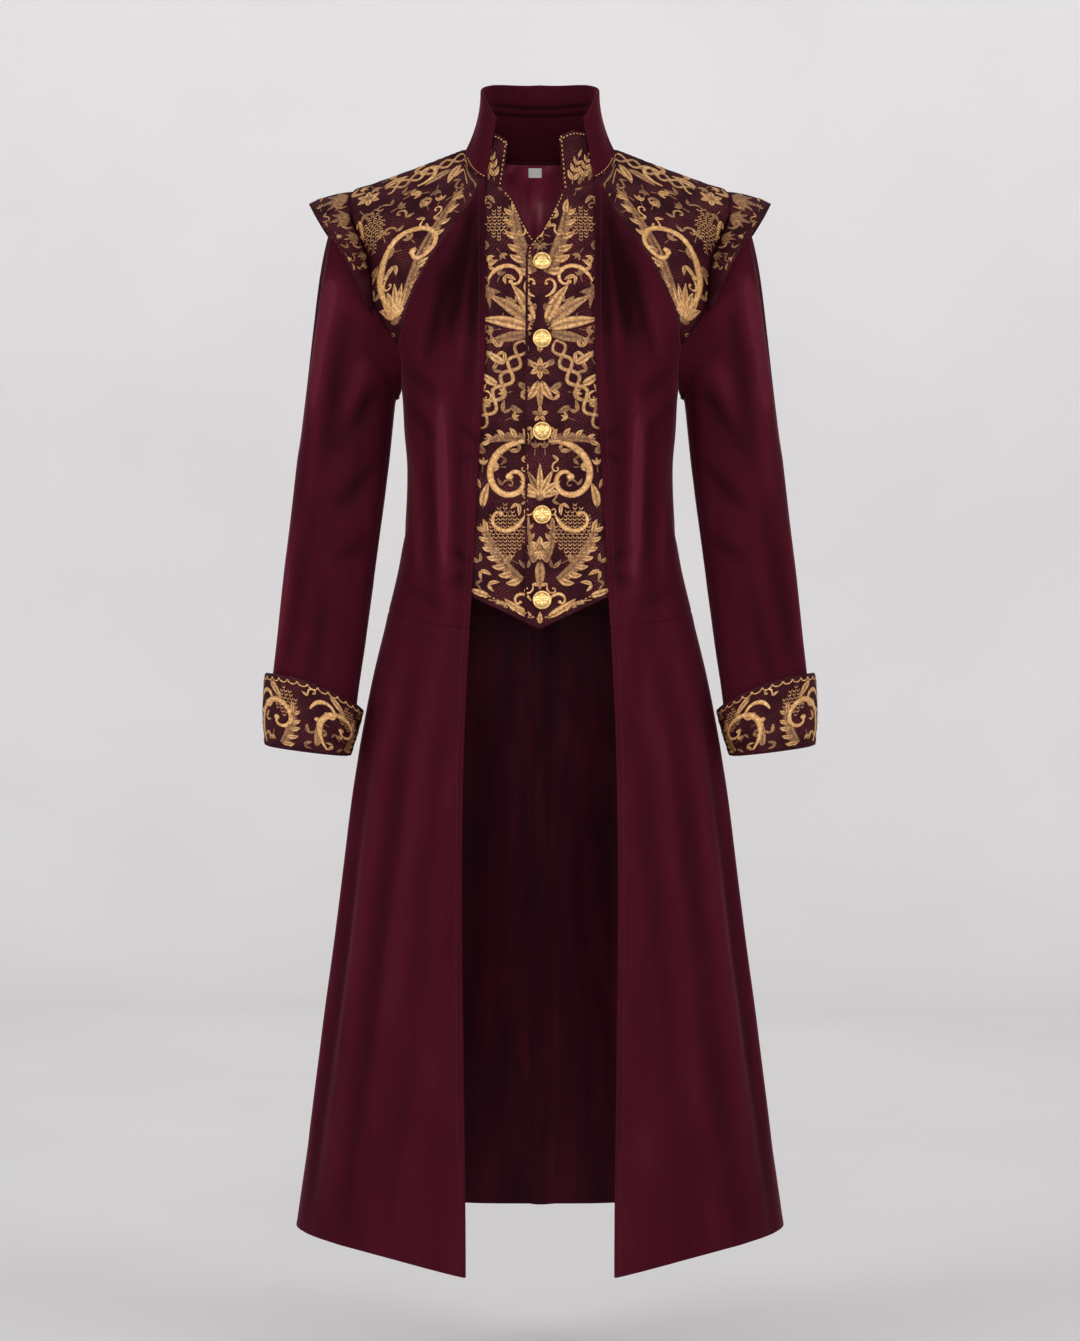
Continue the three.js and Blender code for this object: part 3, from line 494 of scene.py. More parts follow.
def velvet(tree, place):
    # Cotton velvet: a short soft pile that looks dark face on and pale where it turns away,
    # with broad patches where the pile lies another way and a fine grain of tufts.
    stretched = add_node(tree, "ShaderNodeMapping", {"Vector": place, "Scale": (1, 1, 0.25)})
    nap = add_node(tree, "ShaderNodeTexNoise", {"Vector": stretched, **lumps(38, 3, 0.5, 0.4)})
    tufts = add_node(tree, "ShaderNodeTexNoise", {"Vector": place, **lumps(1.1, 2, 0.6)})
    # The vertex attribute read here is painted shading: painted shade in the creases and in shaded stretches,
    # painted highlight on ridges and sheen bands, laid over the nap patches.
    painted_shading = add_node(tree, "ShaderNodeAttribute", attribute_name="painted_shading").outputs["Fac"]
    nap_and_painted_shading = add_node(tree, "ShaderNodeMath", {0: nap, 1: 0.45, 2: painted_shading}, operation="MULTIPLY_ADD")
    shades = [(0.2, "1C040A"), (0.5, "300A14"), (0.72, "3C0D19"), (0.95, "481320"), (1.0, "521A28")]
    patches = add_node(tree, "ShaderNodeValToRGB", {"Fac": nap_and_painted_shading}, shades)
    grain = add_node(tree, "ShaderNodeValToRGB", {"Fac": tufts}, [(0.3, "C9C9C9"), (0.7, "FFFFFF")])
    colour = add_node(
        tree, "ShaderNodeMix", {"A": patches, "B": grain}, data_type="RGBA", blend_type="MULTIPLY"
    )
    bump = add_node(tree, "ShaderNodeBump", {"Height": tufts, "Strength": 0.25, "Distance": 0.4 * MM})
    sheen = {"Sheen Weight": 0.42, "Sheen Roughness": 0.27, "Sheen Tint": linear("A86070")}
    inputs = {"Base Color": colour, "Normal": bump, "Roughness": 0.85, "Specular IOR Level": 0.02, **sheen}
    return add_node(tree, "ShaderNodeBsdfPrincipled", inputs)


def satin(tree, place, shades, roughness, gloss):
    # Viscose satin lining: smooth floating threads that give broad soft highlights down the cloth.
    stretched = add_node(tree, "ShaderNodeMapping", {"Vector": place, "Scale": (1, 1, 0.12)})
    streaks = add_node(tree, "ShaderNodeTexNoise", {"Vector": stretched, **lumps(26, 2, 0.5, 0.3)})
    threads = add_node(tree, "ShaderNodeTexNoise", {"Vector": place, **lumps(0.7, 2)})
    colour = add_node(tree, "ShaderNodeValToRGB", {"Fac": streaks}, shades)
    bump = add_node(tree, "ShaderNodeBump", {"Height": threads, "Strength": 0.12, "Distance": 0.2 * MM})
    inputs = {"Base Color": colour, "Normal": bump, "Roughness": roughness}
    inputs.update({"Specular IOR Level": gloss, "Anisotropic": 0.4})
    return add_node(tree, "ShaderNodeBsdfPrincipled", inputs)


def brocade(tree, place):
    # Jacquard brocade ground: aubergine satin warp crossed by a dotted weft that leaves small pale
    # flecks in slanting rows. The flecks are drawn a little coarser than real ones so that they show.
    uv = add_node(tree, "ShaderNodeUVMap", uv_map="millimetres")
    slant = {"Rotation": (0, 0, math.radians(32)), "Scale": (1 / WEAVE_PITCH, 0.7 / WEAVE_PITCH, 1)}
    turned = add_node(tree, "ShaderNodeMapping", {"Vector": uv, **slant})
    dots = {"Vector": turned, "Scale": 1.0, "Randomness": 0.35}
    cells = add_node(tree, "ShaderNodeTexVoronoi", dots, voronoi_dimensions="2D")
    edge = {"Value": cells, "From Min": 0.14, "From Max": 0.26, "To Min": 1, "To Max": 0}
    fleck = add_node(tree, "ShaderNodeMapRange", edge)
    shade = add_node(tree, "ShaderNodeTexNoise", {"Vector": place, **lumps(30, 3)})
    show = add_node(tree, "ShaderNodeMapRange", {"Value": shade, "From Min": 0.4, "From Max": 0.62})
    both = add_node(tree, "ShaderNodeMath", {0: fleck, 1: show}, operation="MULTIPLY")
    amount = add_node(tree, "ShaderNodeMath", {0: both, 1: 0.6}, operation="MULTIPLY")
    shades = [(0.35, "25060E"), (0.6, "2D0812"), (0.75, "360A16")]
    ground = add_node(tree, "ShaderNodeValToRGB", {"Fac": shade}, shades)
    flecked = {"Factor": amount, "A": ground, "B": linear("7C4640")}
    colour = add_node(tree, "ShaderNodeMix", flecked, data_type="RGBA")
    bump = add_node(tree, "ShaderNodeBump", {"Height": fleck, "Strength": 0.5, "Distance": 0.25 * MM})
    inputs = {"Base Color": colour, "Normal": bump, "Roughness": 0.65, "Specular IOR Level": 0.06}
    return add_node(tree, "ShaderNodeBsdfPrincipled", inputs)


def gilt_weft(tree, place):
    # Metallic weft floats: rows of flat gilt thread laid across each figure, brighter in the main
    # leaves and bronze in the stems, with dark lines between the threads.
    uv = add_node(tree, "ShaderNodeUVMap", uv_map="millimetres")
    tone = add_node(tree, "ShaderNodeAttribute", attribute_name="tone").outputs["Fac"]
    rows = {"Scale": 1 / THREAD_PITCH / 3.2, "Distortion": 1.6, "Detail": 2, "Detail Scale": 1.5}
    wave = add_node(tree, "ShaderNodeTexWave", {"Vector": uv, **rows}, bands_direction="Y")
    threads = wave.outputs["Fac"]
    wear = add_node(tree, "ShaderNodeTexNoise", {"Vector": place, **lumps(3, 3)})
    gilt = add_node(tree, "ShaderNodeValToRGB", {"Fac": wear}, GILT_SHADES)
    bronze = add_node(tree, "ShaderNodeValToRGB", {"Fac": wear}, BRONZE_SHADES)
    colour = add_node(tree, "ShaderNodeMix", {"Factor": tone, "A": bronze, "B": gilt}, data_type="RGBA")
    lines = add_node(tree, "ShaderNodeValToRGB", {"Fac": threads}, [(0.05, "7A6A5A"), (0.4, "FFFFFF")])
    crossed = {"A": colour, "B": lines, "Factor": 0.8}
    colour = add_node(tree, "ShaderNodeMix", crossed, data_type="RGBA", blend_type="MULTIPLY")
    bump = add_node(tree, "ShaderNodeBump", {"Height": threads, "Strength": 0.5, "Distance": 0.25 * MM})
    inputs = {"Base Color": colour, "Normal": bump, "Roughness": 0.5}
    inputs.update({"Metallic": 0.2, "Specular IOR Level": 0.4})
    return add_node(tree, "ShaderNodeBsdfPrincipled", inputs)


def cast_gilt(tree, place):
    # Gilt zinc, cast and polished: warm bright highlights, darker gold in the hollows of the relief.
    hollow = add_node(tree, "ShaderNodeAttribute", attribute_name="tone").outputs["Fac"]
    rub = add_node(tree, "ShaderNodeTexNoise", {"Vector": place, **lumps(2.2, 3)})
    bright = add_node(tree, "ShaderNodeValToRGB", {"Fac": rub}, [(0.3, "E6B662"), (0.7, "F8DDA0")])
    worn = {"Factor": hollow, "A": linear("8A5A22"), "B": bright}
    colour = add_node(tree, "ShaderNodeMix", worn, data_type="RGBA")
    rough = add_node(tree, "ShaderNodeMapRange", {"Value": rub, "To Min": 0.26, "To Max": 0.42})
    inputs = {"Base Color": colour, "Roughness": rough, "Metallic": 0.85}
    return add_node(tree, "ShaderNodeBsdfPrincipled", inputs)


def sewing_thread(tree, place, colour, roughness, metallic):
    # Twisted sewing thread, laid in short stitches.
    twist = add_node(tree, "ShaderNodeTexNoise", {"Vector": place, **lumps(0.6, 1)})
    shade = add_node(tree, "ShaderNodeValToRGB", {"Fac": twist}, [(0.3, "B0B0B0"), (0.7, "FFFFFF")])
    dyed = {"A": linear(colour), "B": shade, "Factor": 1.0}
    mixed = add_node(tree, "ShaderNodeMix", dyed, data_type="RGBA", blend_type="MULTIPLY")
    inputs = {"Base Color": mixed, "Roughness": roughness, "Metallic": metallic}
    return add_node(tree, "ShaderNodeBsdfPrincipled", inputs)


def cotton_tape(tree, place):
    # White cotton tape, plain woven: matt, with a fine crossed grain.
    uv = add_node(tree, "ShaderNodeUVMap", uv_map="millimetres")
    threads = {"Vector": uv, "Scale": 2.2, "Color1": linear("FAFAF8"), "Color2": linear("EEEDEA")}
    grain = add_node(tree, "ShaderNodeTexChecker", threads)
    height = {"Height": grain.outputs["Fac"], "Strength": 0.3, "Distance": 0.1 * MM}
    bump = add_node(tree, "ShaderNodeBump", height)
    inputs = {"Base Color": grain, "Normal": bump, "Roughness": 0.9}
    return add_node(tree, "ShaderNodeBsdfPrincipled", inputs)


def studio_paper(tree, place):
    # Matt studio paper: even and pale, with a faint cloudiness.
    clouds = add_node(tree, "ShaderNodeTexNoise", {"Vector": place, **lumps(600, 2)})
    tint = add_node(tree, "ShaderNodeValToRGB", {"Fac": clouds}, [(0.3, "D4D2D3"), (0.7, "D8D6D7")])
    return add_node(tree, "ShaderNodeBsdfPrincipled", {"Base Color": tint, "Roughness": 0.95})


# Distances in mm between the flecks of the ground and the threads of the figures.
WEAVE_PITCH = 2.4
THREAD_PITCH = 0.9
GILT_SHADES = [(0.35, "C68C50"), (0.55, "E6B270"), (0.75, "FBDCAC")]
BRONZE_SHADES = [(0.35, "482018"), (0.55, "704428"), (0.75, "96703E")]
INTERIOR_SHADES = [(0.3, "260511"), (0.52, "300814"), (0.75, "3E0C1B")]
LINING_SHADES = [(0.3, "5E1A2C"), (0.52, "7C283C"), (0.75, "A24A60")]

VELVET = new_material("cotton_velvet_burgundy", velvet)
INTERIOR = new_material("plum_satin_interior", satin, INTERIOR_SHADES, 0.55, 0.05)
LINING = new_material("burgundy_satin_lining", satin, LINING_SHADES, 0.36, 0.1)
BROCADE = new_material("jacquard_brocade_ground", brocade)
GILT_THREAD = new_material("woven_gilt_thread", gilt_weft)
GOLD_METAL = new_material("gilt_cast_metal", cast_gilt)
GOLD_STITCH = new_material("gilt_sewing_thread", sewing_thread, "D9A862", 0.45, 0.3)
DARK_STITCH = new_material("burgundy_sewing_thread", sewing_thread, "2A0A12", 0.8, 0.0)
COTTON_TAPE = new_material("white_cotton_tape", cotton_tape)
PAPER = new_material("matt_studio_paper", studio_paper)

# Coat body. Creases of the front run between two places seen at x and height, those of the side, back
# and skirt between two places given as angle and height. Each has a width and a depth.
FRONT_CREASES = [
    ((77, -72), (104, -236), 7, 2.6), ((74, -90), (90, -262), 6, -1.6), ((71, -112), (85, -330), 7, 2.3),
    ((104, -140), (132, -262), 8, 2.0), ((118, -172), (141, -252), 7, -1.4),
    ((152, -262), (113, -302), 9, 2.0), ((158, -292), (120, -347), 9, 1.6),
    ((98, -280), (93, -525), 9, 2.0), ((113, -290), (106, -530), 11, -2.5),
    ((130, -320), (123, -525), 10, 2.2), ((145, -340), (140, -500), 9, -1.8),
    ((68, -353), (93, -330), 5, 2.0), ((68, -361), (97, -374), 5, 1.6), ((79, -487), (106, -467), 5, 2.0),
    ((79, -497), (110, -513), 6, 1.8), ((152, -514), (108, -538), 7, 1.6),
]
SIDE_CREASES = [
    ((76, -430), (98, -472), 9, 1.6), ((100, -300), (122, -352), 12, 2.2),
    ((103, -350), (130, -402), 10, 1.8), ((150, -150), (156, -430), 18, 2.8),
    ((141, -180), (143, -470), 14, -2.2), ((130, -240), (132, -500), 14, 2.4),
    ((166, -200), (168, -420), 13, -1.6), ((112, -440), (152, -472), 9, 1.8),
    ((118, -506), (156, -492), 8, 1.5), ((160, -380), (177, -397), 8, 1.4),
]
SKIRT_CREASES = [
    ((33, -600), (36, -1200), 12, 1.9), ((40, -580), (44, -1150), 14, -2.6),
    ((48, -600), (53, -1290), 15, 3.7), ((58, -570), (62, -1200), 17, -3.5),
    ((67, -640), (72, -1290), 17, 3.8), ((77, -570), (81, -1160), 16, -2.9),
    ((86, -700), (91, -1280), 17, 3.4), ((98, -560), (101, -1120), 16, -2.9),
    ((109, -620), (112, -1270), 18, 3.7), ((121, -560), (123, -1200), 16, -3.2),
    ((134, -600), (134, -1270), 17, 3.4), ((147, -560), (145, -1120), 15, -2.6),
    ((158, -650), (157, -1260), 15, 2.9), ((170, -600), (170, -1100), 12, -1.6),
]
# How much painted shade a crease gets for each mm of its depth, with painted highlight on a ridge, and broad
# stretches of painted shade and painted sheen.
CREASE_SHADE_PER_MM = 0.13
SKIRT_CREASE_SHADE_PER_MM = 0.05
FRONT_PAINTED_SHADING = [
    ((71, -50), (80, -235), 27, 0.4), ((100, -105), (112, -250), 20, 0.24),
    ((112, -260), (106, -560), 11, -0.14),
]
SIDE_PAINTED_SHADING = [((150, -100), (150, -420), 30, 0.12)]


def body_line(angle, z):
    return body_point(angle, ring_at_height(angle, z))


def front_line(x, z):
    return body_point(*place_seen(x, z))


def bodice_press(points):
    """Creases of the cloth above the waist, with painted shade in them and painted highlight on their ridges.
    """
    press = crease_depth(points, front_line, FRONT_CREASES) + crease_depth(points, body_line, SIDE_CREASES)
    shade = crease_depth(points, front_line, FRONT_PAINTED_SHADING) + crease_depth(points, body_line, SIDE_PAINTED_SHADING)
    return press, 0.5 - CREASE_SHADE_PER_MM * press - shade


def skirt_press(points):
    """Creases of the cloth below the waist, with painted shade in them and painted highlight on their ridges.
    """
    press = crease_depth(points, body_line, SKIRT_CREASES)
    return press, 0.5 - SKIRT_CREASE_SHADE_PER_MM * press


def folded_body(angle, at, depth, folds):
    """The body's cloth with its creases, which fade out towards the waist seam."""
    points, normals = body_cloth(angle, at, depth)
    press, painted_shading = folds(points)
    press = (press + unevenness(points, 0.45)) * ease(0, 0.25, np.abs(at - WAIST_SEAM))
    return points - normals * press[..., None], normals, painted_shading


def renormal(points, normals):
    """Normals of a folded grid, on the same side as the old ones."""
    down = np.gradient(points, axis=0)
    across = np.gradient(points, axis=1)
    fresh = unit(np.cross(down, across))
    facing = np.sign((fresh * normals).sum(axis=-1, keepdims=True))
    return fresh * np.where(facing == 0, 1, facing)


def edge_angle(edge, level_at, shape, widest=89):
    """The angle at which level lines of the body meet a free edge given as x by depth."""

    def rising(angle):
        point = body_point(angle, level_at(angle))
        return point[..., 0] - edge(-point[..., 2])

    return solve_rising(rising, np.full(shape, -30.0), np.full(shape, float(widest)))


def front_angles(at):
    return edge_angle(lambda depth: front_edge(depth)["x"], lambda angle: at, np.shape(at))


def yoke_edge(waypoints, from_back, shares):
    """One lower edge of the yoke from the neck to the armhole, as angles and rings."""
    x, z = np.array(waypoints, dtype=float).T
    run = np.concatenate([[0], np.cumsum(np.hypot(np.diff(x), np.diff(z)))])
    curve = smooth_table(["run", "x", "z"], np.stack([run, x, z], axis=-1))(np.asarray(shares) * run[-1])
    angle, at = place_seen(curve["x"], curve["z"], from_back)
    neck_angle = math.degrees(math.asin(x[0] / body_ring(NECK)["half_width"]))
    angle[0], at[0] = (180 - neck_angle if from_back else neck_angle), NECK
    angle[-1], at[-1] = armhole(-YOKE_TIP if from_back else YOKE_TIP)
    return angle, at


def bodice_boundary(waypoints, from_back):
    """The outer boundary of a bodice panel: yoke edge, armhole under the yoke, side seam."""
    sign = -1 if from_back else 1
    yoke_angle, yoke_at = yoke_edge(waypoints, from_back, np.linspace(0, 1, 46))
    arm_angle, arm_at = armhole(sign * np.linspace(YOKE_TIP, 180, 15)[1:])
    side_at = np.linspace(UNDERARM, WAIST_SEAM, 46)[1:]
    side_at = np.concatenate([side_at[:-1], WAIST_SEAM - np.array([0.05, 0.02, 0])])
    angle = np.concatenate([yoke_angle, arm_angle, np.full(len(side_at), 90.0)])
    return angle, np.concatenate([yoke_at, arm_at, side_at])


def bodice_front(side):
    """Angles, rings and depths of a front above the waist; the other panels' grids give the same."""
    angle, at = bodice_boundary(YOKE_FRONT_EDGE, False)
    inner = front_angles(at)
    share = graded(22, 105)
    return mix(inner[:, None], angle[:, None], share[None]), np.repeat(at[:, None], len(share), axis=1), 0


def bodice_back(side):
    angle, at = bodice_boundary(YOKE_BACK_EDGE, True)
    share = graded(30, 170)
    return mix(180.0, angle[:, None], share[None]), np.repeat(at[:, None], len(share), axis=1), 0


def skirt_front(side):
    at = mix(WAIST_SEAM, HEM, graded(74, 720))
    share = graded(36, 190)
    return mix(front_angles(at)[:, None], 90, share[None]), np.repeat(at[:, None], len(share), axis=1), 0


VENT_UNDERLAP = 182
VENT_JOGGLE = 179
VENT_DEPTH = SHELL + LAYER_GAP + 0.9
# How far up behind the waist seam the underlap reaches, in rings, and how soon below it that ends.
VENT_RISE, VENT_RISE_FADE = 0.1, 0.5


def skirt_back(side):
    """The left back skirt steps under the right one at the vent."""
    at = mix(WAIST_SEAM, HEM, graded(74, 720))
    angle = mix(90, 180, graded(52, 240))
    depth = np.zeros(len(angle))
    if side == "left":
        angle = np.concatenate([angle[angle < VENT_JOGGLE - 2], [VENT_JOGGLE, 180, 181, VENT_UNDERLAP]])
        depth = VENT_DEPTH * ease(VENT_JOGGLE - 3, VENT_JOGGLE, angle)
    rise = VENT_RISE * (1 - ease(0, VENT_RISE_FADE, at - WAIST_SEAM))
    at = at[:, None] - rise[:, None] * depth[None] / VENT_DEPTH
    return np.broadcast_to(angle, at.shape), at, np.broadcast_to(depth, at.shape)


# Each body panel: its grid, its folds, its sewn and its topstitched sides, and the piece it hangs from.
BODY_PANELS = {
    "front_bodice": (bodice_front, bodice_press, ("last", "bottom", "top"), ("first",), "yoke_{}"),
    "back_bodice": (bodice_back, bodice_press, ("first", "last", "bottom", "top"), (), "yoke_{}"),
    "front_skirt": (skirt_front, skirt_press, ("last", "top"), ("first",), "front_bodice_{}_cloth"),
    "back_skirt": (skirt_back, skirt_press, ("first", "top"), (), "back_bodice_{}_cloth"),
}


def body_panel(kind, side, rolled):
    """Points, normals and painted shading of a body panel with its creases, rolled in at the sides named."""
    grid, folds, _, topstitched, _ = BODY_PANELS[kind]
    angle, at, depth = grid(side)
    points, normals, painted_shading = folded_body(angle, at, depth, folds)
    return press_seams(points, normals, rolled, topstitched), normals, painted_shading


def add_body_panels():
    for side, sign in SIDES:
        for kind, (_, _, sewn, _, above) in BODY_PANELS.items():
            points, normals, painted_shading = body_panel(kind, side, sewn)
            add_panel(
                f"{kind}_{side}", points, renormal(points, normals), SHELL, [VELVET, INTERIOR], "velvet",
                sign, sewn, on=above.format(side), painted_shading=painted_shading,
            )


# Yoke


def yoke_grid(rows, columns):
    """Angles and rings of the yoke between its two lower edges, the neck and the armhole."""
    along = np.linspace(0, 1, rows)[:, None]
    across = np.linspace(0, 1, columns)[None]
    front = yoke_edge(YOKE_FRONT_EDGE, False, along[:, 0])
    back = yoke_edge(YOKE_BACK_EDGE, True, along[:, 0])
    arm = armhole(mix(YOKE_TIP, -YOKE_TIP, across[0]))
    result = []
    for f, b, a in zip(front, back, arm):
        neck = mix(f[0], b[0], across)
        sides = mix(f[:, None], b[:, None], across)
        corners = mix(mix(f[0], b[0], across), mix(f[-1], b[-1], across), along)
        result.append(sides + mix(neck, a[None], along) - corners)
    return result


ALL_SIDES = ("first", "last", "top", "bottom")


def yoke_surface(rows=44, columns=90):
    points, normals = body_cloth(*yoke_grid(rows, columns))
    points = points - normals * unevenness(points, 0.25)[..., None]
    return press_seams(points, normals, ALL_SIDES), normals


# Sleeve

SLEEVE_HEM = 12
sleeve_ring = smooth_table(
    ["at", "outer_x", "outer_z", "inner_x", "inner_z", "half_depth", "forward", "seam_pull"],
    [
        [0, 220.5, -48.5, 162, -280, 56, 0, 1],
        [1, 237, -70, 162.5, -282.5, 60, 0, 0.6],
        [2, 249, -106, 163.2, -285, 63, 0, 0.25],
        [3, 258.5, -152, 164.5, -288, 65, 0, 0],
        [4, 266, -212, 166, -292, 65.5, 1, 0],
        [5, 275, -287, 168.5, -299, 65, 2, 0],
        [6, 282.6, -356, 175.5, -369, 64, 4, 0],
        [7, 290.3, -427, 184.5, -440, 62, 8, 0],
        [8, 298.3, -497, 194, -510, 59, 14, 0],
        [9, 305.3, -567, 203, -580, 55, 22, 0],
        [10, 310, -610, 209, -622.5, 52.5, 28, 0],
        [11, 315, -655, 214.5, -667.5, 50, 35, 0],
        [SLEEVE_HEM, 315.5, -695, 221.5, -707, 48, 41, 0],
    ],
)
SLEEVE_BACK_SEAM = -105
SLEEVE_FRONT_SEAM = 160
WING_END = 90
# At the armhole the sleeve starts a hair off the seam, sunk under the wing and proud under the arm,
# by turns round the arm. This fades out by a ring, and creases keep clear of the armhole and the cuff.
SLEEVE_START_GAP = 0.1
SLEEVE_TUCK, UNDER_WING = WING_WALL + LAYER_GAP, (WING_END - 4, WING_END + 5)
SLEEVE_LIFT, UNDER_ARM = 1.2 * SEAM_GAP, (95, 150)
SLEEVE_START_FADE = 0.8
CREASES_FROM, CREASES_TO = (0.8, 2), (10.4, 11)

# Sleeve creases run between places given as turn round the arm and ring along it.
SLEEVE_CREASES = [
    ((20, 1.6), (10, 6.0), 11, 3.9), ((50, 2.2), (40, 5.6), 15, -3.1), ((78, 2.6), (70, 6.4), 13, 2.5),
    ((110, 3.2), (95, 5.8), 11, -2.1), ((135, 4.6), (80, 6.0), 10, 2.7), ((140, 6.0), (90, 6.9), 9, 2.4),
    ((150, 7.2), (95, 7.7), 9, 1.8), ((60, 6.6), (48, 9.8), 13, 2.5), ((30, 7.0), (26, 10.0), 12, -2.2),
    ((95, 8.0), (84, 10.4), 10, 2.0), ((-20, 2.0), (-14, 6.8), 14, 2.5),
    ((-50, 3.0), (-44, 8.4), 15, -2.8), ((-80, 2.6), (-76, 6.6), 12, 2.2),
    ((-120, 5.4), (-160, 6.4), 9, 2.1), ((-115, 6.6), (-165, 7.2), 9, 1.7),
    ((180, 3.6), (184, 8.0), 11, 2.0), ((215, 7.4), (214, 10.6), 10, -1.7),
]
# Painted shading along the sleeve, given as its creases are: a band of painted sheen and two stretches of
# painted shade, each with a width and an amount.
SLEEVE_PAINTED_SHADING = [
    ((50, 2), (58, 10), 10, -0.14), ((100, 1), (110, 7), 14, 0.16), ((10, 2), (16, 9), 9, 0.1),
]


def sleeve_oval(turn, ring):
    out = (1 + np.cos(np.radians(turn))) / 2
    x = mix(ring["inner_x"], ring["outer_x"], out)
    z = mix(ring["inner_z"], ring["outer_z"], out)
    return np.stack([x, -ring["forward"] - ring["half_depth"] * np.sin(np.radians(turn)), z], axis=-1)


def sleeve_point(turn, at):
    turn, at = np.broadcast_arrays(np.asarray(turn, dtype=float), np.asarray(at, dtype=float))
    ring = sleeve_ring(at)
    pull = np.maximum(ring["seam_pull"], 0)[..., None]
    start = sleeve_oval(turn, sleeve_ring(np.zeros_like(at)))
    return sleeve_oval(turn, ring) + (body_point(*armhole(turn)) - start) * pull


def sleeve_normal(turn, at):
    return -surface_normal(sleeve_point, turn, at, 0, SLEEVE_HEM)


def armhole_frame(turn):
    """At the armhole: the points, the body's outward normals and the directions out of the panel."""
    turn = np.asarray(turn, dtype=float)
    points, normals = body_cloth(*armhole(turn))
    along = body_point(*armhole(turn + 1)) - body_point(*armhole(turn - 1))
    out = unit(np.cross(along, normals))
    middle = body_point(90, mix(SHOULDER_POINT, UNDERARM, 0.4))
    facing = np.sign(((middle - points) * out).sum(axis=-1, keepdims=True))
    return points, normals, out * facing


def clear_of_panel(normals, out):
    into = np.maximum((normals * out).sum(axis=-1, keepdims=True), 0)
    return unit(normals - out * into)


def wrap(turn):
    return (turn + 180) % 360 - 180


def sleeve_surface(turns, at):
    """The sleeve with its creases; its start is drawn in from the armhole, deeper under the wing."""
    turn, at = np.meshgrid(turns, at)
    points = sleeve_point(turn, at)
    normals = sleeve_normal(turn, at)
    seam, seam_normal, out = armhole_frame(turn[0])
    under_wing = 1 - ease(*UNDER_WING, np.abs(wrap(turn[0])))
    under_arm = ease(*UNDER_ARM, np.abs(wrap(turn[0])))
    tuck = sleeve_normal(turn[0], np.full(turn[0].shape, 0.5)) * (SLEEVE_TUCK * under_wing)[:, None]
    start = seam + out * SLEEVE_START_GAP + seam_normal * (SLEEVE_LIFT * under_arm)[:, None] - tuck
    fade = (1 - ease(0, SLEEVE_START_FADE, at))[..., None]
    points = points + (start - points[0])[None] * fade
    normals[0] = clear_of_panel(normals[0], -out)
    press = crease_depth(points, sleeve_point, SLEEVE_CREASES)
    # Creases are painted darker and ridges lighter, as painted shade and painted highlight.
    painted_shading = 0.5 - CREASE_SHADE_PER_MM * press - crease_depth(points, sleeve_point, SLEEVE_PAINTED_SHADING)
    press = (press + unevenness(points, 0.5)) * ease(*CREASES_FROM, at) * (1 - ease(*CREASES_TO, at))
    return points - normals * press[..., None], normals, painted_shading


TAPE_REACH, TAPE_WALL, TAPE_GAP = 6, 0.6, 0.4
TAPE_RINGS = (0, 0.16, 0.32)


def add_armhole_tapes():
    """A binding over the raw edges inside each armhole seam."""
    turns = np.linspace(-180, 180, 97)
    seam, normal, out = armhole_frame(turns)
    sleeve, sleeve_normals, _ = sleeve_surface(turns, np.array(TAPE_RINGS))
    inwards = SHELL + TAPE_GAP
    rows = [seam - out * TAPE_REACH - normal * inwards, seam - out - normal * inwards]
    rows += [sleeve[k] - sleeve_normals[k] * (SLEEVE_WALL + TAPE_GAP) for k in (1, 2)]
    points = np.array(rows)
    normals = np.array([normal, normal, sleeve_normals[1], sleeve_normals[2]])
    for side, sign in SIDES:
        name = f"armhole_tape_{side}"
        mesh = wall_mesh(name, flip(points, sign), flip(normals, sign), TAPE_WALL)
        piece = add_object(name, mesh, [INTERIOR, INTERIOR])


def add_sleeves():
    at = np.concatenate([np.linspace(0, 2, 22), np.linspace(2, SLEEVE_HEM, 92)[1:]])
    upper = mix(SLEEVE_BACK_SEAM, SLEEVE_FRONT_SEAM, graded(58, 300))
    under = mix(SLEEVE_FRONT_SEAM, 360 + SLEEVE_BACK_SEAM, graded(20, 105))
    for side, sign in SIDES:
        for name, turns in (("upper_sleeve", upper), ("under_sleeve", under)):
            points, normals, painted_shading = sleeve_surface(turns, at)
            start_normals = normals[0].copy()
            sewn = ("first", "last", "top")
            points = press_seams(points, normals, sewn)
            normals = renormal(points, normals)
            normals[0] = start_normals
            add_panel(
                f"{name}_{side}", points, normals, SLEEVE_WALL, [VELVET, INTERIOR], "velvet",
                sign, sewn, on=f"front_bodice_{side}_cloth", painted_shading=painted_shading,
            )


# Wing

wing_edge = smooth_table(
    ["at", "x", "half_depth", "z"],
    [
        [0, 270, 0, -62],
        [16, 262.5, 25, -76],
        [32, 252, 44, -92],
        [51, 230, 62, -122],
        [70, 212, 69, -158],
        [WING_END, 195.5, 63.5, -193],
    ],
)
WING_ARCH = 2.5
WING_ARCH_REACH = 40


def wing_point(turn, out):
    turn, out = np.broadcast_arrays(np.asarray(turn, dtype=float), np.asarray(out, dtype=float))
    seam, normal, out_of_panel = armhole_frame(turn)
    edge = wing_edge(np.abs(turn))
    tip = np.stack([edge["x"], -np.sign(turn) * edge["half_depth"], edge["z"]], axis=-1)
    root = seam + out_of_panel * SEAM_GAP
    reach = np.linalg.norm(tip - root, axis=-1)
    arch = WING_ARCH * 4 * out * (1 - out) * np.minimum(reach / WING_ARCH_REACH, 1)
    return mix(root, tip, out[..., None]) + normal * arch[..., None]


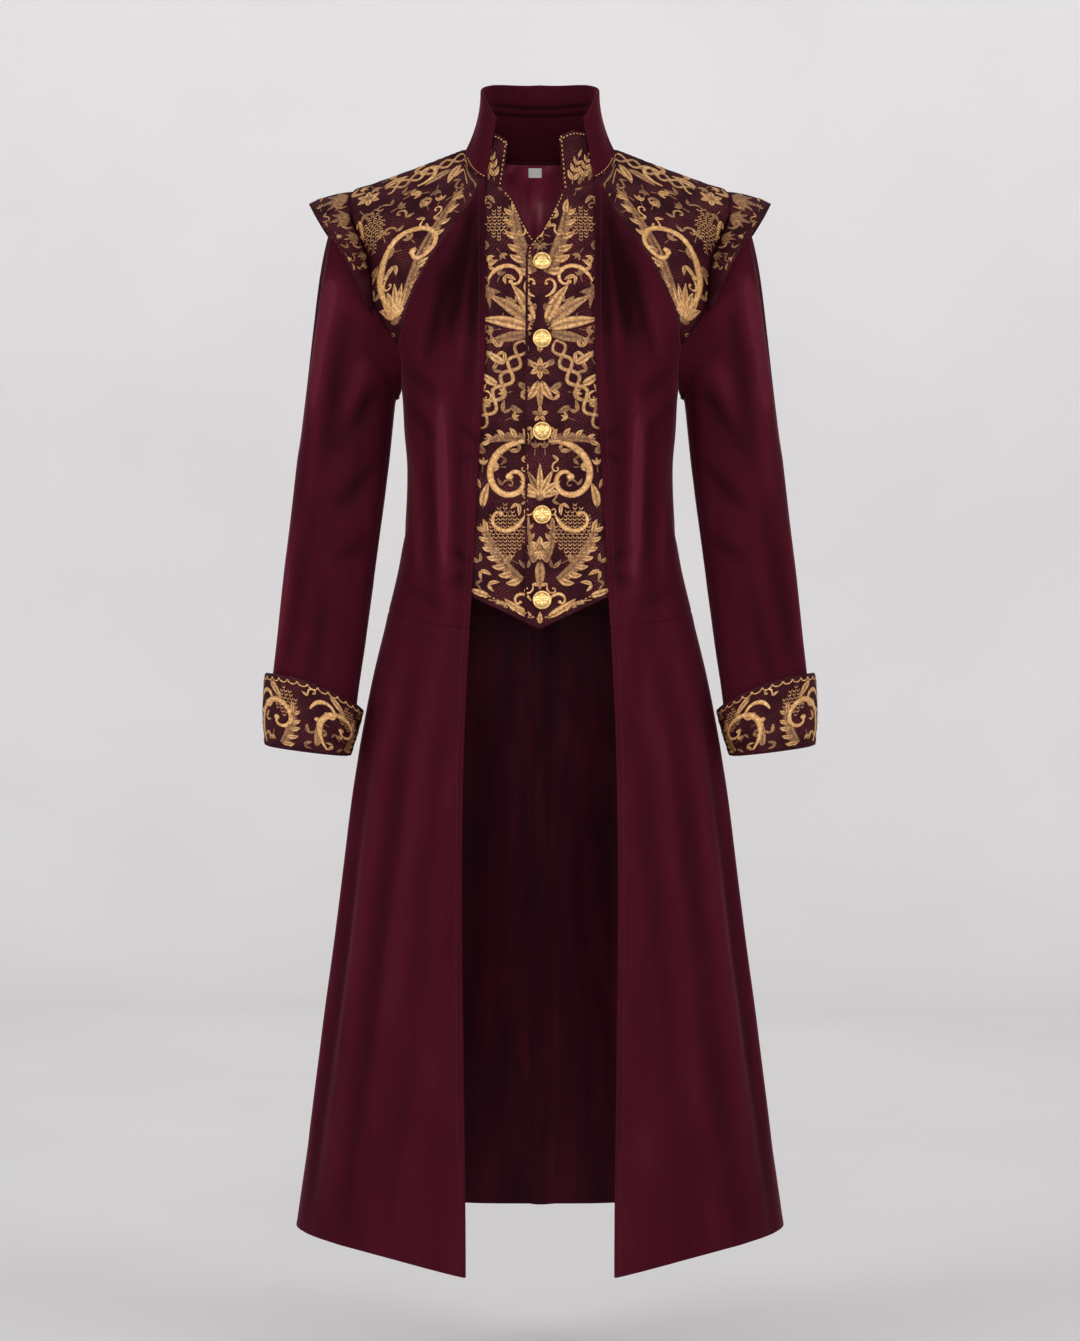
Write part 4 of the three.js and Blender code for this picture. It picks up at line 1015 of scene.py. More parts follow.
def wing_surface(rows=90, columns=22):
    turn, out = np.meshgrid(np.linspace(-WING_END, WING_END, rows), np.linspace(0, 1, columns), indexing="ij")
    points = wing_point(turn, out)
    normals = -surface_normal(wing_point, turn, out, 0, 1)
    panel_out = armhole_frame(turn[:, 0])[2]
    normals[:, 0] = clear_of_panel(normals[:, 0], -panel_out)
    return points, normals


# Cuff

CUFF_BOTTOM, CUFF_TOP_OUTER, CUFF_TOP_INNER, CUFF_TOP_FALL = 11.97, 10.08, 10.72, 2.6
CUFF_SLIT_TURN, CUFF_CORNER_DIP, CUFF_CORNER_SHARE = 2.4, 0.13, 0.04
CUFF_FLARE_OUTER, CUFF_FLARE_INNER, CUFF_FLARE_SIDES, CUFF_GAP = 6, 5.5, 6.5, 0.8


def cuff_surface(rows=26, columns=110):
    up, share = np.meshgrid(np.linspace(0, 1, rows), np.linspace(0, 1, columns), indexing="ij")
    turn = mix(CUFF_SLIT_TURN, 360 - CUFF_SLIT_TURN, share)
    inwards = (1 - np.cos(np.radians(turn))) / 2
    at_slit = 1 - ease(0, CUFF_CORNER_SHARE, np.minimum(share, 1 - share))
    top = mix(CUFF_TOP_OUTER, CUFF_TOP_INNER, inwards**CUFF_TOP_FALL) + CUFF_CORNER_DIP * at_slit
    at = mix(CUFF_BOTTOM, top, up)
    on_sides = np.abs(np.sin(np.radians(turn)))
    flare = mix(mix(CUFF_FLARE_OUTER, CUFF_FLARE_INNER, inwards), CUFF_FLARE_SIDES, on_sides)
    normals = sleeve_normal(turn, at)
    points = sleeve_point(turn, at) + normals * (CUFF_GAP + CUFF_WALL + flare * up)[..., None]
    return points, normals


# Collar

COLLAR_FRONT = 48.8
COLLAR_RIM = (69.5, 84, 64)
collar_height = smooth_table(
    ["at", "z"],
    [[0, 8], [COLLAR_FRONT, 27.5], [65, 48], [90, 68], [120, 80], [180, 86.5]],
)
# The collar reaches a little below the neck seam. Two creases run level round its back, with painted shade in
# them and inside the back.
COLLAR_TUCK = 1.2
COLLAR_CREASE_HEIGHTS, COLLAR_CREASE_WIDTH, COLLAR_CREASE_DEPTH = (60.5, 51), 1.9, 1.3
COLLAR_CREASES_FROM = (105, 140)
COLLAR_CREASE_SHADE, COLLAR_BACK_SHADE, COLLAR_SHADE_FROM = 0.55, 0.12, (100, 140)


def collar_point(angle, z, inset=0):
    angle, z = np.broadcast_arrays(np.asarray(angle, dtype=float), np.asarray(z, dtype=float))
    base_z = body_point(angle, NECK)[..., 2]
    up = (z - base_z) / (collar_height(angle)["z"] - base_z)
    hollow = mix(up, 1 - (1 - up) ** 2, ease(COLLAR_FRONT, 90, angle))
    neck = body_ring(NECK)
    x, y = oval(
        angle,
        mix(neck["half_width"], COLLAR_RIM[0], hollow) - inset,
        mix(neck["front_depth"], COLLAR_RIM[1], hollow) - inset,
        mix(neck["back_depth"], COLLAR_RIM[2], hollow) - inset,
        1,
    )
    return np.stack([x, y, z], axis=-1)


def level_normal(angle, z, inset=0):
    along = collar_point(angle + 0.5, z, inset) - collar_point(angle - 0.5, z, inset)
    return unit(np.stack([along[..., 1], -along[..., 0], np.zeros_like(along[..., 0])], axis=-1))


def collar_surface(rows=34, columns=150):
    up, share = np.meshgrid(np.linspace(0, 1, rows), np.linspace(0, 1, columns), indexing="ij")
    angle = mix(COLLAR_FRONT, 360 - COLLAR_FRONT, share)
    half = np.minimum(angle, 360 - angle)
    z = mix(body_point(half, NECK)[..., 2] - COLLAR_TUCK, collar_height(half)["z"], up)
    points = collar_point(half, z)
    normals = level_normal(half, z)
    groove = sum(np.exp(-(((z - height) / COLLAR_CREASE_WIDTH) ** 2)) for height in COLLAR_CREASE_HEIGHTS)
    groove = groove * ease(*COLLAR_CREASES_FROM, half)
    press = unevenness(points, 0.3) - COLLAR_CREASE_DEPTH * groove
    painted_shading = 0.5 - COLLAR_CREASE_SHADE * groove - COLLAR_BACK_SHADE * ease(*COLLAR_SHADE_FROM, half)
    other_half = np.where(angle > 180, -1, 1)
    return flip_where(points - normals * press[..., None], other_half), flip_where(normals, other_half), painted_shading


# Vest

VEST_OUTER_REACH = 38
VEST_WIDEST_ANGLE = 62
VEST_TOP = 0.02
VEST_HEM_POINT = -561
VEST_HEM_RISE = 0.47
LEFT_EDGE = [(53, 24.5), (65, 23.6), (86, 13), (111, 0.3), (117, -6), (128, -14), (140, -15.5), (620, -16.8)]
RIGHT_EDGE = [(52, 44.5), (72, 30), (94, 20.4), (111, 10.8), (116, 7.6), (136, -12), (620, -12)]
vest_edge = {"left": line_table(LEFT_EDGE), "right": line_table(RIGHT_EDGE)}
UNDERLAP_X = (18, 32)
UNDERLAP_DEPTHS = (60, 106)
HIDDEN_CHEST_X = (66, 90)
HIDDEN_CHEST_DEPTHS = (180, 260)
SEWN_EDGE_SHARE = 0.8
SEWN_EDGE_DEPTHS = (200, 280)


def vest_hem_level(angle):
    def rising(at):
        point = body_point(angle, at)
        return VEST_HEM_POINT + VEST_HEM_RISE * np.abs(point[..., 0]) - point[..., 2]

    return solve_rising(rising, np.full(np.shape(angle), UNDERARM), np.full(np.shape(angle), HEM))


def vest_sink(side, x, depth, share=0):
    """How much deeper than its face a place on the vest lies."""
    crossed = 1 - ease(*UNDERLAP_X, x) if side == "right" else 0
    lapped = crossed * ease(*UNDERLAP_DEPTHS, depth)
    hidden = ease(*HIDDEN_CHEST_X, x) * (1 - ease(*HIDDEN_CHEST_DEPTHS, depth))
    sewn = ease(SEWN_EDGE_SHARE, 1, share) * ease(*SEWN_EDGE_DEPTHS, depth)
    under = lapped * (VEST_UNDERLAP_DEPTH - VEST_DEPTH)
    return under + hidden * VEST_CHEST_EASE - sewn * (VEST_DEPTH - VEST_SEAM_DEPTH)


def vest_surface(side, rows=120, columns=44):
    down = np.linspace(0, 1, rows)[:, None]
    down = mix(down, down**1.5, 0.65)
    level_at = lambda angle: mix(VEST_TOP, vest_hem_level(angle), down[:, : np.shape(angle)[-1]])
    inner = edge_angle(vest_edge[side], level_at, (rows, 1))
    outer_x = lambda depth: front_edge(depth)["x"] + VEST_OUTER_REACH
    outer = edge_angle(outer_x, level_at, (rows, 1), VEST_WIDEST_ANGLE)
    share = np.linspace(0, 1, columns)[None]
    angle = mix(inner, outer, share)
    at = mix(VEST_TOP, vest_hem_level(angle), down)
    flat = body_point(angle, at)
    sink = vest_sink(side, flat[..., 0], -flat[..., 2], share)
    points, normals = body_cloth(angle, at, VEST_DEPTH + sink)
    press = bodice_press(points)[0] * ease(0, 0.3, share) * ease(58, 72, points[..., 0])
    return points - normals * press[..., None], normals


VEST_COLLAR_END = 76
VEST_COLLAR_INSET = 4.3
vest_collar_shape = {
    "left": (19.5, smooth_table(["angle", "z"], [[19.5, 1.6], [33, 9.7], [50, 10.8], [VEST_COLLAR_END, 11]])),
    "right": (33, smooth_table(["angle", "z"], [[33, -3], [40, 4], [52, 10.2], [VEST_COLLAR_END, 11]])),
}


def vest_collar_surface(side, rows=26, columns=40):
    front, rim = vest_collar_shape[side]
    angle = mix(front, VEST_COLLAR_END, np.linspace(0, 1, columns))
    seam, _ = body_cloth(angle, VEST_TOP, VEST_DEPTH)
    low = seam + unit(body_point(angle, NECK) - body_point(angle, 0.1)) * 0.1
    risen = np.linspace(0, 1, rows - 1)[:, None]
    z = mix(body_point(angle, NECK)[..., 2] + 0.6, rim(angle)["z"], risen)
    upright = collar_point(np.broadcast_to(angle, z.shape), z, VEST_COLLAR_INSET)
    points = np.concatenate([low[None], upright])
    normals = np.repeat(level_normal(angle, z[0], VEST_COLLAR_INSET)[None], rows, axis=0)
    return points, normals


# Lining and label

LINING_FROM = 126
LINING_TOP, LINING_BOTTOM = 0.12, 8
# The lining sinks from its top depth to its full depth, and its pleat and folds come and go, by rings.
LINING_SINK, FOLDS_COME = (0.15, 0.9), (0.5, 1.6)
PLEAT_DEPTH, PLEAT_HALF_ANGLE, PLEAT_COMES, PLEAT_GOES = 4, 4, (1, 1.7), (3, 6)
# Soft upright folds of the lining beside its pleat, as angle from the middle, width and depth.
LINING_FOLDS = [(6, 1.3, 1.3), (10.5, 1.8, 1.6), (15, 2.4, 1.2), (24, 5.0, 1.8), (44, 6.0, 1.5)]
LABEL_WIDTH, LABEL_HEIGHT, LABEL_X, LABEL_Z = 15.6, 9.2, -6, -11.2
LABEL_SINK = 2.2


def lining_depth(angle, at):
    from_middle = np.abs(angle - 180)
    pleat = PLEAT_DEPTH * (1 - ease(0, PLEAT_HALF_ANGLE, from_middle))
    pleat = pleat * ease(*PLEAT_COMES, at) * (1 - ease(*PLEAT_GOES, at))
    depth = mix(LINING_TOP_DEPTH, LINING_DEPTH, ease(*LINING_SINK, at)) + pleat
    for place, width, size in LINING_FOLDS:
        depth = depth + size * np.exp(-(((from_middle - place) / width) ** 2)) * ease(*FOLDS_COME, at)
    return depth


def lining_surface():
    at = mix(LINING_TOP, LINING_BOTTOM, np.linspace(0, 1, 80) ** 1.2)
    angle = np.linspace(LINING_FROM, 360 - LINING_FROM, 121)
    half = np.minimum(angle, 360 - angle)
    half, at = np.meshgrid(half, at)
    points, normals = body_cloth(half, at, lining_depth(half, at))
    other_half = np.broadcast_to(np.where(angle > 180, -1, 1), at.shape)
    return flip_where(points, other_half), flip_where(normals, other_half)


def label_surface():
    x = LABEL_X + LABEL_WIDTH * np.linspace(-0.5, 0.5, 17)[None]
    z = LABEL_Z + LABEL_HEIGHT * np.linspace(0.5, -0.5, 11)[:, None]
    x, z = np.broadcast_arrays(x, z)
    angle, at = place_seen(np.abs(x), z, True)
    depth = LINING_TOP_DEPTH + LABEL_SINK * ease(*LINING_SINK, at) + LINING_WALL + 1.2 * SEAM_GAP
    points, normals = body_cloth(angle, at, depth)
    return flip_where(points, np.sign(x)), flip_where(normals, np.sign(x))


def add_trimmed_panels():
    """The brocade pieces, collar, lining and label."""
    for side, sign in SIDES:
        body = f"front_bodice_{side}_cloth"
        panels = [
            ("yoke", yoke_surface(), SHELL, INTERIOR, ALL_SIDES, "hung", "collar_cloth"),
            ("wing", wing_surface(), WING_WALL, BROCADE, ("first",), "hung", f"yoke_{side}_cloth"),
            ("cuff", cuff_surface(), CUFF_WALL, BROCADE, (), "folded", f"upper_sleeve_{side}_cloth"),
            ("vest", vest_surface(side), VEST_WALL, INTERIOR, ("last",), "hung", body),
        ]
        collar = vest_collar_surface(side), VEST_COLLAR_WALL, VELVET, ("top",), "hung", f"vest_{side}_cloth"
        for name, (points, normals), wall, inside, sewn, held, on in panels + [("vest_collar", *collar)]:
            cloths = [BROCADE, inside]
            add_panel(f"{name}_{side}", points, normals, wall, cloths, "brocade", sign, sewn, held, on)
    yoke = "yoke_left_cloth"
    points, normals, painted_shading = collar_surface()
    add_panel("collar", points, normals, COLLAR_WALL, [VELVET] * 2, "velvet", 1, ("top",), on=yoke, painted_shading=painted_shading)
    add_panel("back_lining", *lining_surface(), LINING_WALL, [LINING] * 2, "satin", 1, (), on=yoke)
    tape = [COTTON_TAPE] * 2
    add_panel("label", *label_surface(), LABEL_WALL, tape, "label", 1, (), "laid", "back_lining_cloth")


# Buttons

BUTTON_X = 2.4
BUTTON_HEIGHTS = [-144.9, -234.2, -338.4, -432.3, -529.2]
# Half of the button's section, from the middle of its top by the rope rim to the middle of its back.
BUTTON_TOP = [(0, 5.0), (4.7, 4.5), (8.3, 2.5), (8.9, 3.1), (9.6, 3.3), (10.2, 3.1)]
BUTTON_BACK = [(10.5, 2.5), (10.5, 0.9), (9.6, 0), (0, 0)]
BUTTON_SIDES = 96


def button_mesh(name, seat, normal):
    """A domed button: a rosette of eight petals inside a rim cut like a rope."""
    profile = np.array(BUTTON_TOP + BUTTON_BACK, dtype=float)
    run = np.concatenate([[0], np.cumsum(np.hypot(*np.diff(profile, axis=0).T))])
    places = np.unique(np.concatenate([np.linspace(0, run[3], 22), run[2:]]))
    radius, height = np.interp(places, run, profile[:, 0]), np.interp(places, run, profile[:, 1])
    turn = np.linspace(0, 2 * math.pi, BUTTON_SIDES, endpoint=False)
    radius, turn = np.meshgrid(radius, turn, indexing="ij")
    height = np.repeat(height[:, None], BUTTON_SIDES, axis=1)
    on_top = (np.arange(len(places)) < len(places) - 3)[:, None]
    petals = np.abs(np.cos(4 * turn)) ** 0.7 * np.exp(-(((radius - 4.6) / 2.4) ** 2))
    heart = np.exp(-((radius / 1.6) ** 2))
    rope = np.cos(30 * turn + radius) * np.exp(-(((radius - 9.6) / 0.6) ** 2))
    relief = (0.75 * petals + 0.5 * heart + 0.22 * rope) * on_top
    height = height + relief - 0.35 * np.exp(-(((radius - 4.6) / 2.4) ** 2)) * on_top
    side_axis = unit(np.cross(normal, np.array([0, 0, 1.0])))
    up_axis = np.cross(side_axis, normal)
    points = (
        seat
        + radius[..., None] * np.cos(turn)[..., None] * side_axis
        + radius[..., None] * np.sin(turn)[..., None] * up_axis
        + height[..., None] * normal
    )
    rings = len(places)
    faces = []
    for i in range(rings - 1):
        for j in range(BUTTON_SIDES):
            after = (j + 1) % BUTTON_SIDES
            faces.append((i * BUTTON_SIDES + j, (i + 1) * BUTTON_SIDES + j,
                          (i + 1) * BUTTON_SIDES + after, i * BUTTON_SIDES + after))
    uv = np.stack([radius * np.cos(turn), radius * np.sin(turn)], axis=-1).reshape(-1, 2)
    mesh = make_mesh(name, points.reshape(-1, 3), faces, uv, [0] * len(faces))
    tone = mesh.attributes.new("tone", "FLOAT", "POINT")
    shade = np.clip(0.35 + relief * 1.3 + 0.35 * (radius > 8.7), 0, 1)
    tone.data.foreach_set("value", shade.ravel().astype(np.float32))
    merge_doubles(mesh)
    return mesh


def merge_doubles(mesh):
    work = bmesh.new()
    work.from_mesh(mesh)
    bmesh.ops.remove_doubles(work, verts=work.verts, dist=1e-6)
    bmesh.ops.recalc_face_normals(work, faces=work.faces)
    work.to_mesh(mesh)
    work.free()


def add_buttons():
    for index, height in enumerate(BUTTON_HEIGHTS):
        angle, at = place_seen(BUTTON_X, height)
        seat, normal = body_cloth(angle, at, VEST_DEPTH - 2 * SEAM_GAP)
        name = f"button_{index + 1}_gilt"
        piece = add_object(name, button_mesh(name, seat, normal), [GOLD_METAL])
        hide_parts(f"button_{index + 1}")


# Stitches


def stitch_tree(name, material):
    """A Geometry Nodes tree that lays a stitch along a curve at every pitch."""
    tree = bpy.data.node_groups.new(name, "GeometryNodeTree")
    tree.interface.new_socket(name="Seam", in_out="INPUT", socket_type="NodeSocketGeometry")
    for socket in ("Pitch", "Length", "Thickness"):
        tree.interface.new_socket(name=socket, in_out="INPUT", socket_type="NodeSocketFloat")
    tree.interface.new_socket(name="Stitches", in_out="OUTPUT", socket_type="NodeSocketGeometry")
    seam = tree.nodes.new("NodeGroupInput").outputs
    spaced = {"Curve": seam["Seam"], "Length": seam["Pitch"]}
    places = add_node(tree, "GeometryNodeResampleCurve", spaced, mode="LENGTH")
    sizes = {"X": seam["Thickness"], "Y": seam["Thickness"], "Z": seam["Length"]}
    size = add_node(tree, "ShaderNodeCombineXYZ", sizes)
    ball = add_node(tree, "GeometryNodeMeshIcoSphere", {"Radius": 0.5, "Subdivisions": 2})
    stitch = add_node(tree, "GeometryNodeTransform", {"Geometry": ball, "Scale": size})
    tangent = add_node(tree, "GeometryNodeInputTangent")
    turned = add_node(tree, "FunctionNodeAlignRotationToVector", {"Vector": tangent}, axis="Z")
    laid = {"Points": places, "Instance": stitch, "Rotation": turned}
    placed = add_node(tree, "GeometryNodeInstanceOnPoints", laid)
    real = add_node(tree, "GeometryNodeRealizeInstances", {"Geometry": placed})
    finished = add_node(tree, "GeometryNodeSetMaterial", {"Geometry": real, "Material": material})
    add_node(tree, "NodeGroupOutput", {"Stitches": finished})
    return tree


def add_stitches(name, seams, tree, material, pitch, length, thickness):
    """Lays stitches along seams, each a row of points in mm, as one plain mesh."""
    curve = bpy.data.curves.new(name, "CURVE")
    curve.dimensions = "3D"
    for seam in seams:
        spline = curve.splines.new("POLY")
        spline.points.add(len(seam) - 1)
        spline.points.foreach_set("co", np.c_[np.asarray(seam) * MM, np.ones(len(seam))].ravel())
    guide = bpy.data.objects.new(f"{name}_guide", curve)
    bpy.context.scene.collection.objects.link(guide)
    modifier = guide.modifiers.new("stitches", "NODES")
    modifier.node_group = tree
    sizes = {"Pitch": pitch, "Length": length, "Thickness": thickness}
    for item in tree.interface.items_tree:
        if item.in_out == "INPUT" and item.name in sizes:
            modifier[item.identifier] = sizes[item.name] * MM
    evaluated = guide.evaluated_get(bpy.context.evaluated_depsgraph_get())
    mesh = bpy.data.meshes.new_from_object(evaluated)
    bpy.data.objects.remove(guide)
    mesh.name = name
    mesh.materials.clear()
    return add_object(name, mesh, [material])


def both_sides(seam):
    return [flip(seam, sign) for _, sign in SIDES]


def lifted(points, normals, height=0.25):
    return points + normals * height


def inset_line(points, normals, side, inset):
    """The line on a panel at a distance in mm from one of its sides."""
    distance = edge_distances(points)[side]
    if side in ("first", "last"):
        rows = range(points.shape[0])
        picks = [(i, int(np.argmin(np.abs(distance[i] - inset)))) for i in rows]
    else:
        picks = [(int(np.argmin(np.abs(distance[:, j] - inset))), j) for j in range(points.shape[1])]
    return np.array([points[i, j] + normals[i, j] * 0.1 for i, j in picks])


def add_all_stitches():
    gold_tree = stitch_tree("gold_stitches", GOLD_STITCH)
    dark_tree = stitch_tree("dark_stitches", DARK_STITCH)
    dark, gold = [], []
    for kind in ("front_bodice", "front_skirt"):
        points, normals, _ = body_panel(kind, "left", ())
        dark += both_sides(inset_line(points, normals, "first", TOPSTITCH))
    base_angle = np.linspace(COLLAR_FRONT + 0.5, 78, 40)
    base_z = body_point(base_angle, NECK)[..., 2]
    collar_base = collar_point(base_angle, base_z + 2.2) + level_normal(base_angle, base_z + 2.2) * 0.35
    gold += both_sides(collar_base)
    for side, sign in SIDES:
        points, normals = vest_surface(side)
        gold.append(flip(lifted(points[-2, :34], normals[-2, :34], 0.3), sign))
        gold.append(flip(lifted(points[3:46, 1], normals[3:46, 1], 0.3), sign))
        points, normals = vest_collar_surface(side)
        gold.append(flip(lifted(points[1:, 1], normals[1:, 1], 0.2), sign))
        gold.append(flip(lifted(points[-2], normals[-2], 0.2), sign))
    add_stitches("front_topstitch", dark, dark_tree, DARK_STITCH, 3.2, 2.4, 0.5)
    add_stitches("gilt_edge_stitch", gold, gold_tree, GOLD_STITCH, 5.0, 2.7, 1.6)


# Woven figures. Each stroke is a ribbon: the places of its middle line, its half widths and its tone.

Stroke = namedtuple("Stroke", "line half_width tone section")
GILT = 1.0
BRONZE = 0.25
FIGURE_HEIGHT = 0.45
FIGURE_LIFT = 0.03
RIBBON_ACROSS = np.array([-1, -0.55, 0, 0.55, 1])
RIBBON_RISE = {"plain": np.array([-0.3, 0.85, 1, 0.85, -0.3]), "veined": np.array([-0.3, 1, 0.25, 1, -0.3])}
RIBBON_TONE = {"plain": np.array([0, 0.8, 1, 0.8, 0]), "veined": np.array([0, 1, 0.15, 1, 0])}


def heading_line(base, headings, length):
    """A line of points from a base, going a length in steps whose headings are given in degrees."""
    step = length / (len(headings) - 1)
    turn = np.radians(headings)
    moves = np.stack([np.cos(turn), np.sin(turn)], axis=-1) * step
    return np.asarray(base, dtype=float) + np.concatenate([[[0, 0]], np.cumsum(moves[:-1], axis=0)])


def leaf(base, heading, length, width, bend=0, tone=GILT):
    """A pointed leaf that bends by some degrees along its length."""
    t = np.linspace(0, 1, 15)
    line = heading_line(base, heading + bend * (t - 0.3), length)
    half = width / 2 * np.sin(np.pi * t**0.75) ** 0.85
    return [Stroke(line, half, tone, "veined")]


def bud(centre, radius, tone=GILT):
    t = np.linspace(0, 1, 9)
    line = np.asarray(centre, dtype=float) + np.stack([(2 * t - 1) * radius, 0 * t], axis=-1)
    return [Stroke(line, radius * np.sqrt(np.maximum(1 - (2 * t - 1) ** 2, 0)), tone, "plain")]


def stem(base, heading, length, width, bend=0, tone=BRONZE, taper=0.5):
    t = np.linspace(0, 1, max(8, int(length / 2.5)))
    half = width / 2 * (1 - taper * t) * np.sin(np.pi * np.clip(t, 0.04, 0.96)) ** 0.12
    return Stroke(heading_line(base, heading + bend * t, length), half, tone, "plain")


def curl(base, heading, length, width, turn, tone=GILT):
    """A scroll that winds in by some degrees and ends in a round bud."""
    t = np.linspace(0, 1, 40)
    step = length * (1 - 0.86 * t) / (1 - 0.43) / (len(t) - 1)
    angle = np.radians(heading + turn * t**1.25)
    moves = np.stack([np.cos(angle), np.sin(angle)], axis=-1) * step[:, None]
    line = np.asarray(base, dtype=float) + np.concatenate([[[0, 0]], np.cumsum(moves[:-1], axis=0)])
    half = width / 2 * (1 - 0.62 * t) * np.minimum(1, 0.35 + 4 * t)
    return [Stroke(line, half, tone, "plain")] + bud(line[-1], width * 0.42, tone)


def spray(base, heading, length, bend, pairs, leaf_length, leaf_width, tone=GILT, spread=48):
    """A stem with pairs of leaves that grow smaller towards its tip."""
    main = stem(base, heading, length, leaf_width * 0.32, bend)
    strokes = [main]
    count = len(main.line)
    for k in range(pairs):
        share = (k + 0.6) / (pairs + 0.3)
        place = main.line[int(share * (count - 1))]
        at = heading + bend * share
        size = 1 - 0.45 * share
        for sign in (1, -1):
            grown = leaf_length * size, leaf_width * size
            strokes += leaf(place, at + sign * spread, *grown, -sign * 30, tone)
    strokes += leaf(main.line[-1], heading + bend, leaf_length * 0.75, leaf_width * 0.6, 0, tone)
    return strokes


def acanthus(base, heading, length, bend, lobes, width, side=1, tone=GILT):
    """A large curved leaf whose outer side breaks into curling lobes."""
    t = np.linspace(0, 1, 30)
    line = heading_line(base, heading + bend * t, length)
    half = width / 2 * np.sin(np.pi * (0.12 + 0.88 * t) ** 0.9) ** 0.6
    strokes = [Stroke(line, half * 0.62, BRONZE, "veined")]
    for k in range(lobes):
        share = (k + 0.35) / lobes
        place = line[int(share * 28)]
        size = width * (0.95 - 0.4 * share)
        at = heading + bend * share
        strokes += leaf(place, at + side * 62, size, size * 0.52, -side * 55, tone)
        strokes += leaf(place, at + side * 30, size * 0.9, size * 0.3, -side * 25, BRONZE)
    strokes += leaf(line[-6], heading + bend, width * 0.8, width * 0.36, side * 30, tone)
    return strokes


def fan(base, heading, radius, count, spread, tone=GILT):
    """A palmette: leaves spread like a fan, longest in the middle."""
    strokes = []
    for share in np.linspace(-1, 1, count):
        size = radius * (1 - 0.32 * abs(share))
        start = np.asarray(base, dtype=float)
        strokes += leaf(start, heading + spread / 2 * share, size, radius * 0.24, 26 * share, tone)
    return strokes + bud(base, radius * 0.14, BRONZE)


def flower(centre, radius, petals, tone=GILT):
    strokes = []
    for k in range(petals):
        turn = 360 * k / petals + 90
        away = np.array([math.cos(math.radians(turn)), math.sin(math.radians(turn))])
        start = np.asarray(centre) + radius * 0.2 * away
        strokes += leaf(start, turn, radius * 0.85, radius * 0.62, 0, tone)
    return strokes + bud(centre, radius * 0.24, BRONZE)


def twisted_vine(base, heading, length, bend, width, pitch, tone=BRONZE):
    """Two strands twisted round each other along a bending path."""
    t = np.linspace(0, 1, max(24, int(length / 1.8)))
    path = heading_line(base, heading + bend * t, length)
    across = unit(np.gradient(path, axis=0))[:, ::-1] * np.array([-1, 1])
    swing = np.sin(2 * np.pi * t * length / pitch)[:, None] * across * width / 2
    half = np.full(len(t), width * 0.17) * np.sin(np.pi * np.clip(t, 0.03, 0.97)) ** 0.2
    return [Stroke(path + swing, half, tone, "plain"), Stroke(path - swing, half, GILT * 0.7, "plain")]


def scales(centre, width, height, size, tone=0.6):
    """A lozenge filled with rows of small overlapping scales."""
    strokes = []
    rows = int(height / (size * 0.8))
    for row in range(rows):
        v = (row + 0.5) / rows * 2 - 1
        reach = (1 - abs(v) ** 1.6) * width / 2
        count = max(int(2 * reach / size), 1)
        for k in range(count):
            u = (k + 0.5 + 0.5 * (row % 2)) / count * 2 - 1
            x = centre[0] + u * reach
            y = centre[1] + v * height / 2
            strokes.append(Stroke(
                np.array([[x - size * 0.45, y], [x - size * 0.3, y - size * 0.4], [x, y - size * 0.55],
                          [x + size * 0.3, y - size * 0.4], [x + size * 0.45, y]]),
                np.array([0.05, 0.16, 0.2, 0.16, 0.05]) * size, tone, "plain",
            ))
    return strokes


def sprig(base, heading, size, tone=GILT):
    """A small sprig of three leaves on a short stem."""
    strokes = [stem(base, heading, size * 0.7, size * 0.12)]
    tip = strokes[0].line[-1]
    for turn in (-42, 0, 42):
        strokes += leaf(tip, heading + turn, size * 0.7, size * 0.32, 0, tone)
    return strokes


def mirrored(strokes, middle=0):
    """The strokes with their mirror image about an upright line."""
    other = [stroke._replace(line=stroke.line * [-1, 1] + [2 * middle, 0]) for stroke in strokes]
    return strokes + other


def figure_mesh(name, strokes, place):
    """Lays strokes on a surface as thin raised ribbons. Parts that fall off the surface are left out."""
    flat, rises, uvs, tones = [], [], [], []
    for order, stroke in enumerate(strokes):
        along = unit(np.gradient(stroke.line, axis=0))
        across = along[:, ::-1] * np.array([-1, 1])
        reach = stroke.half_width[:, None] * RIBBON_ACROSS
        flat.append(stroke.line[:, None] + across[:, None] * reach[..., None])
        height = FIGURE_HEIGHT + FIGURE_LIFT * (order % 5)
        rises.append(RIBBON_RISE[stroke.section] * height * np.minimum(stroke.half_width[:, None] / 0.8, 1))
        run = np.concatenate([[0], np.cumsum(np.linalg.norm(np.diff(stroke.line, axis=0), axis=-1))])
        uvs.append(np.stack([reach, np.broadcast_to(run[:, None], reach.shape)], axis=-1))
        tones.append(np.broadcast_to(stroke.tone * RIBBON_TONE[stroke.section], reach.shape))
    ends = np.cumsum([len(part) for part in flat])
    flat = np.concatenate(flat)
    points, normals, inside = place(flat[..., 0], flat[..., 1])
    points = (points + normals * np.concatenate(rises)[..., None]).reshape(-1, 3)
    whole = inside[:-1, :-1] & inside[1:, :-1] & inside[:-1, 1:] & inside[1:, 1:]
    whole[ends[:-1] - 1] = False
    corner = np.arange(flat.shape[0] * 5).reshape(-1, 5)[:-1, :-1][whole]
    facing = np.cross(points[corner + 5] - points[corner], points[corner + 1] - points[corner])
    forward = (facing * normals.reshape(-1, 3)[corner]).sum(axis=-1) > 0
    second, fourth = np.where(forward, corner + 5, corner + 1), np.where(forward, corner + 1, corner + 5)
    faces = np.stack([corner, second, corner + 6, fourth], axis=-1).tolist()
    mesh = make_mesh(name, points, faces, np.concatenate(uvs).reshape(-1, 2))
    tone = mesh.attributes.new("tone", "FLOAT", "POINT")
    tone.data.foreach_set("value", np.concatenate(tones).astype(np.float32).ravel())
    return mesh


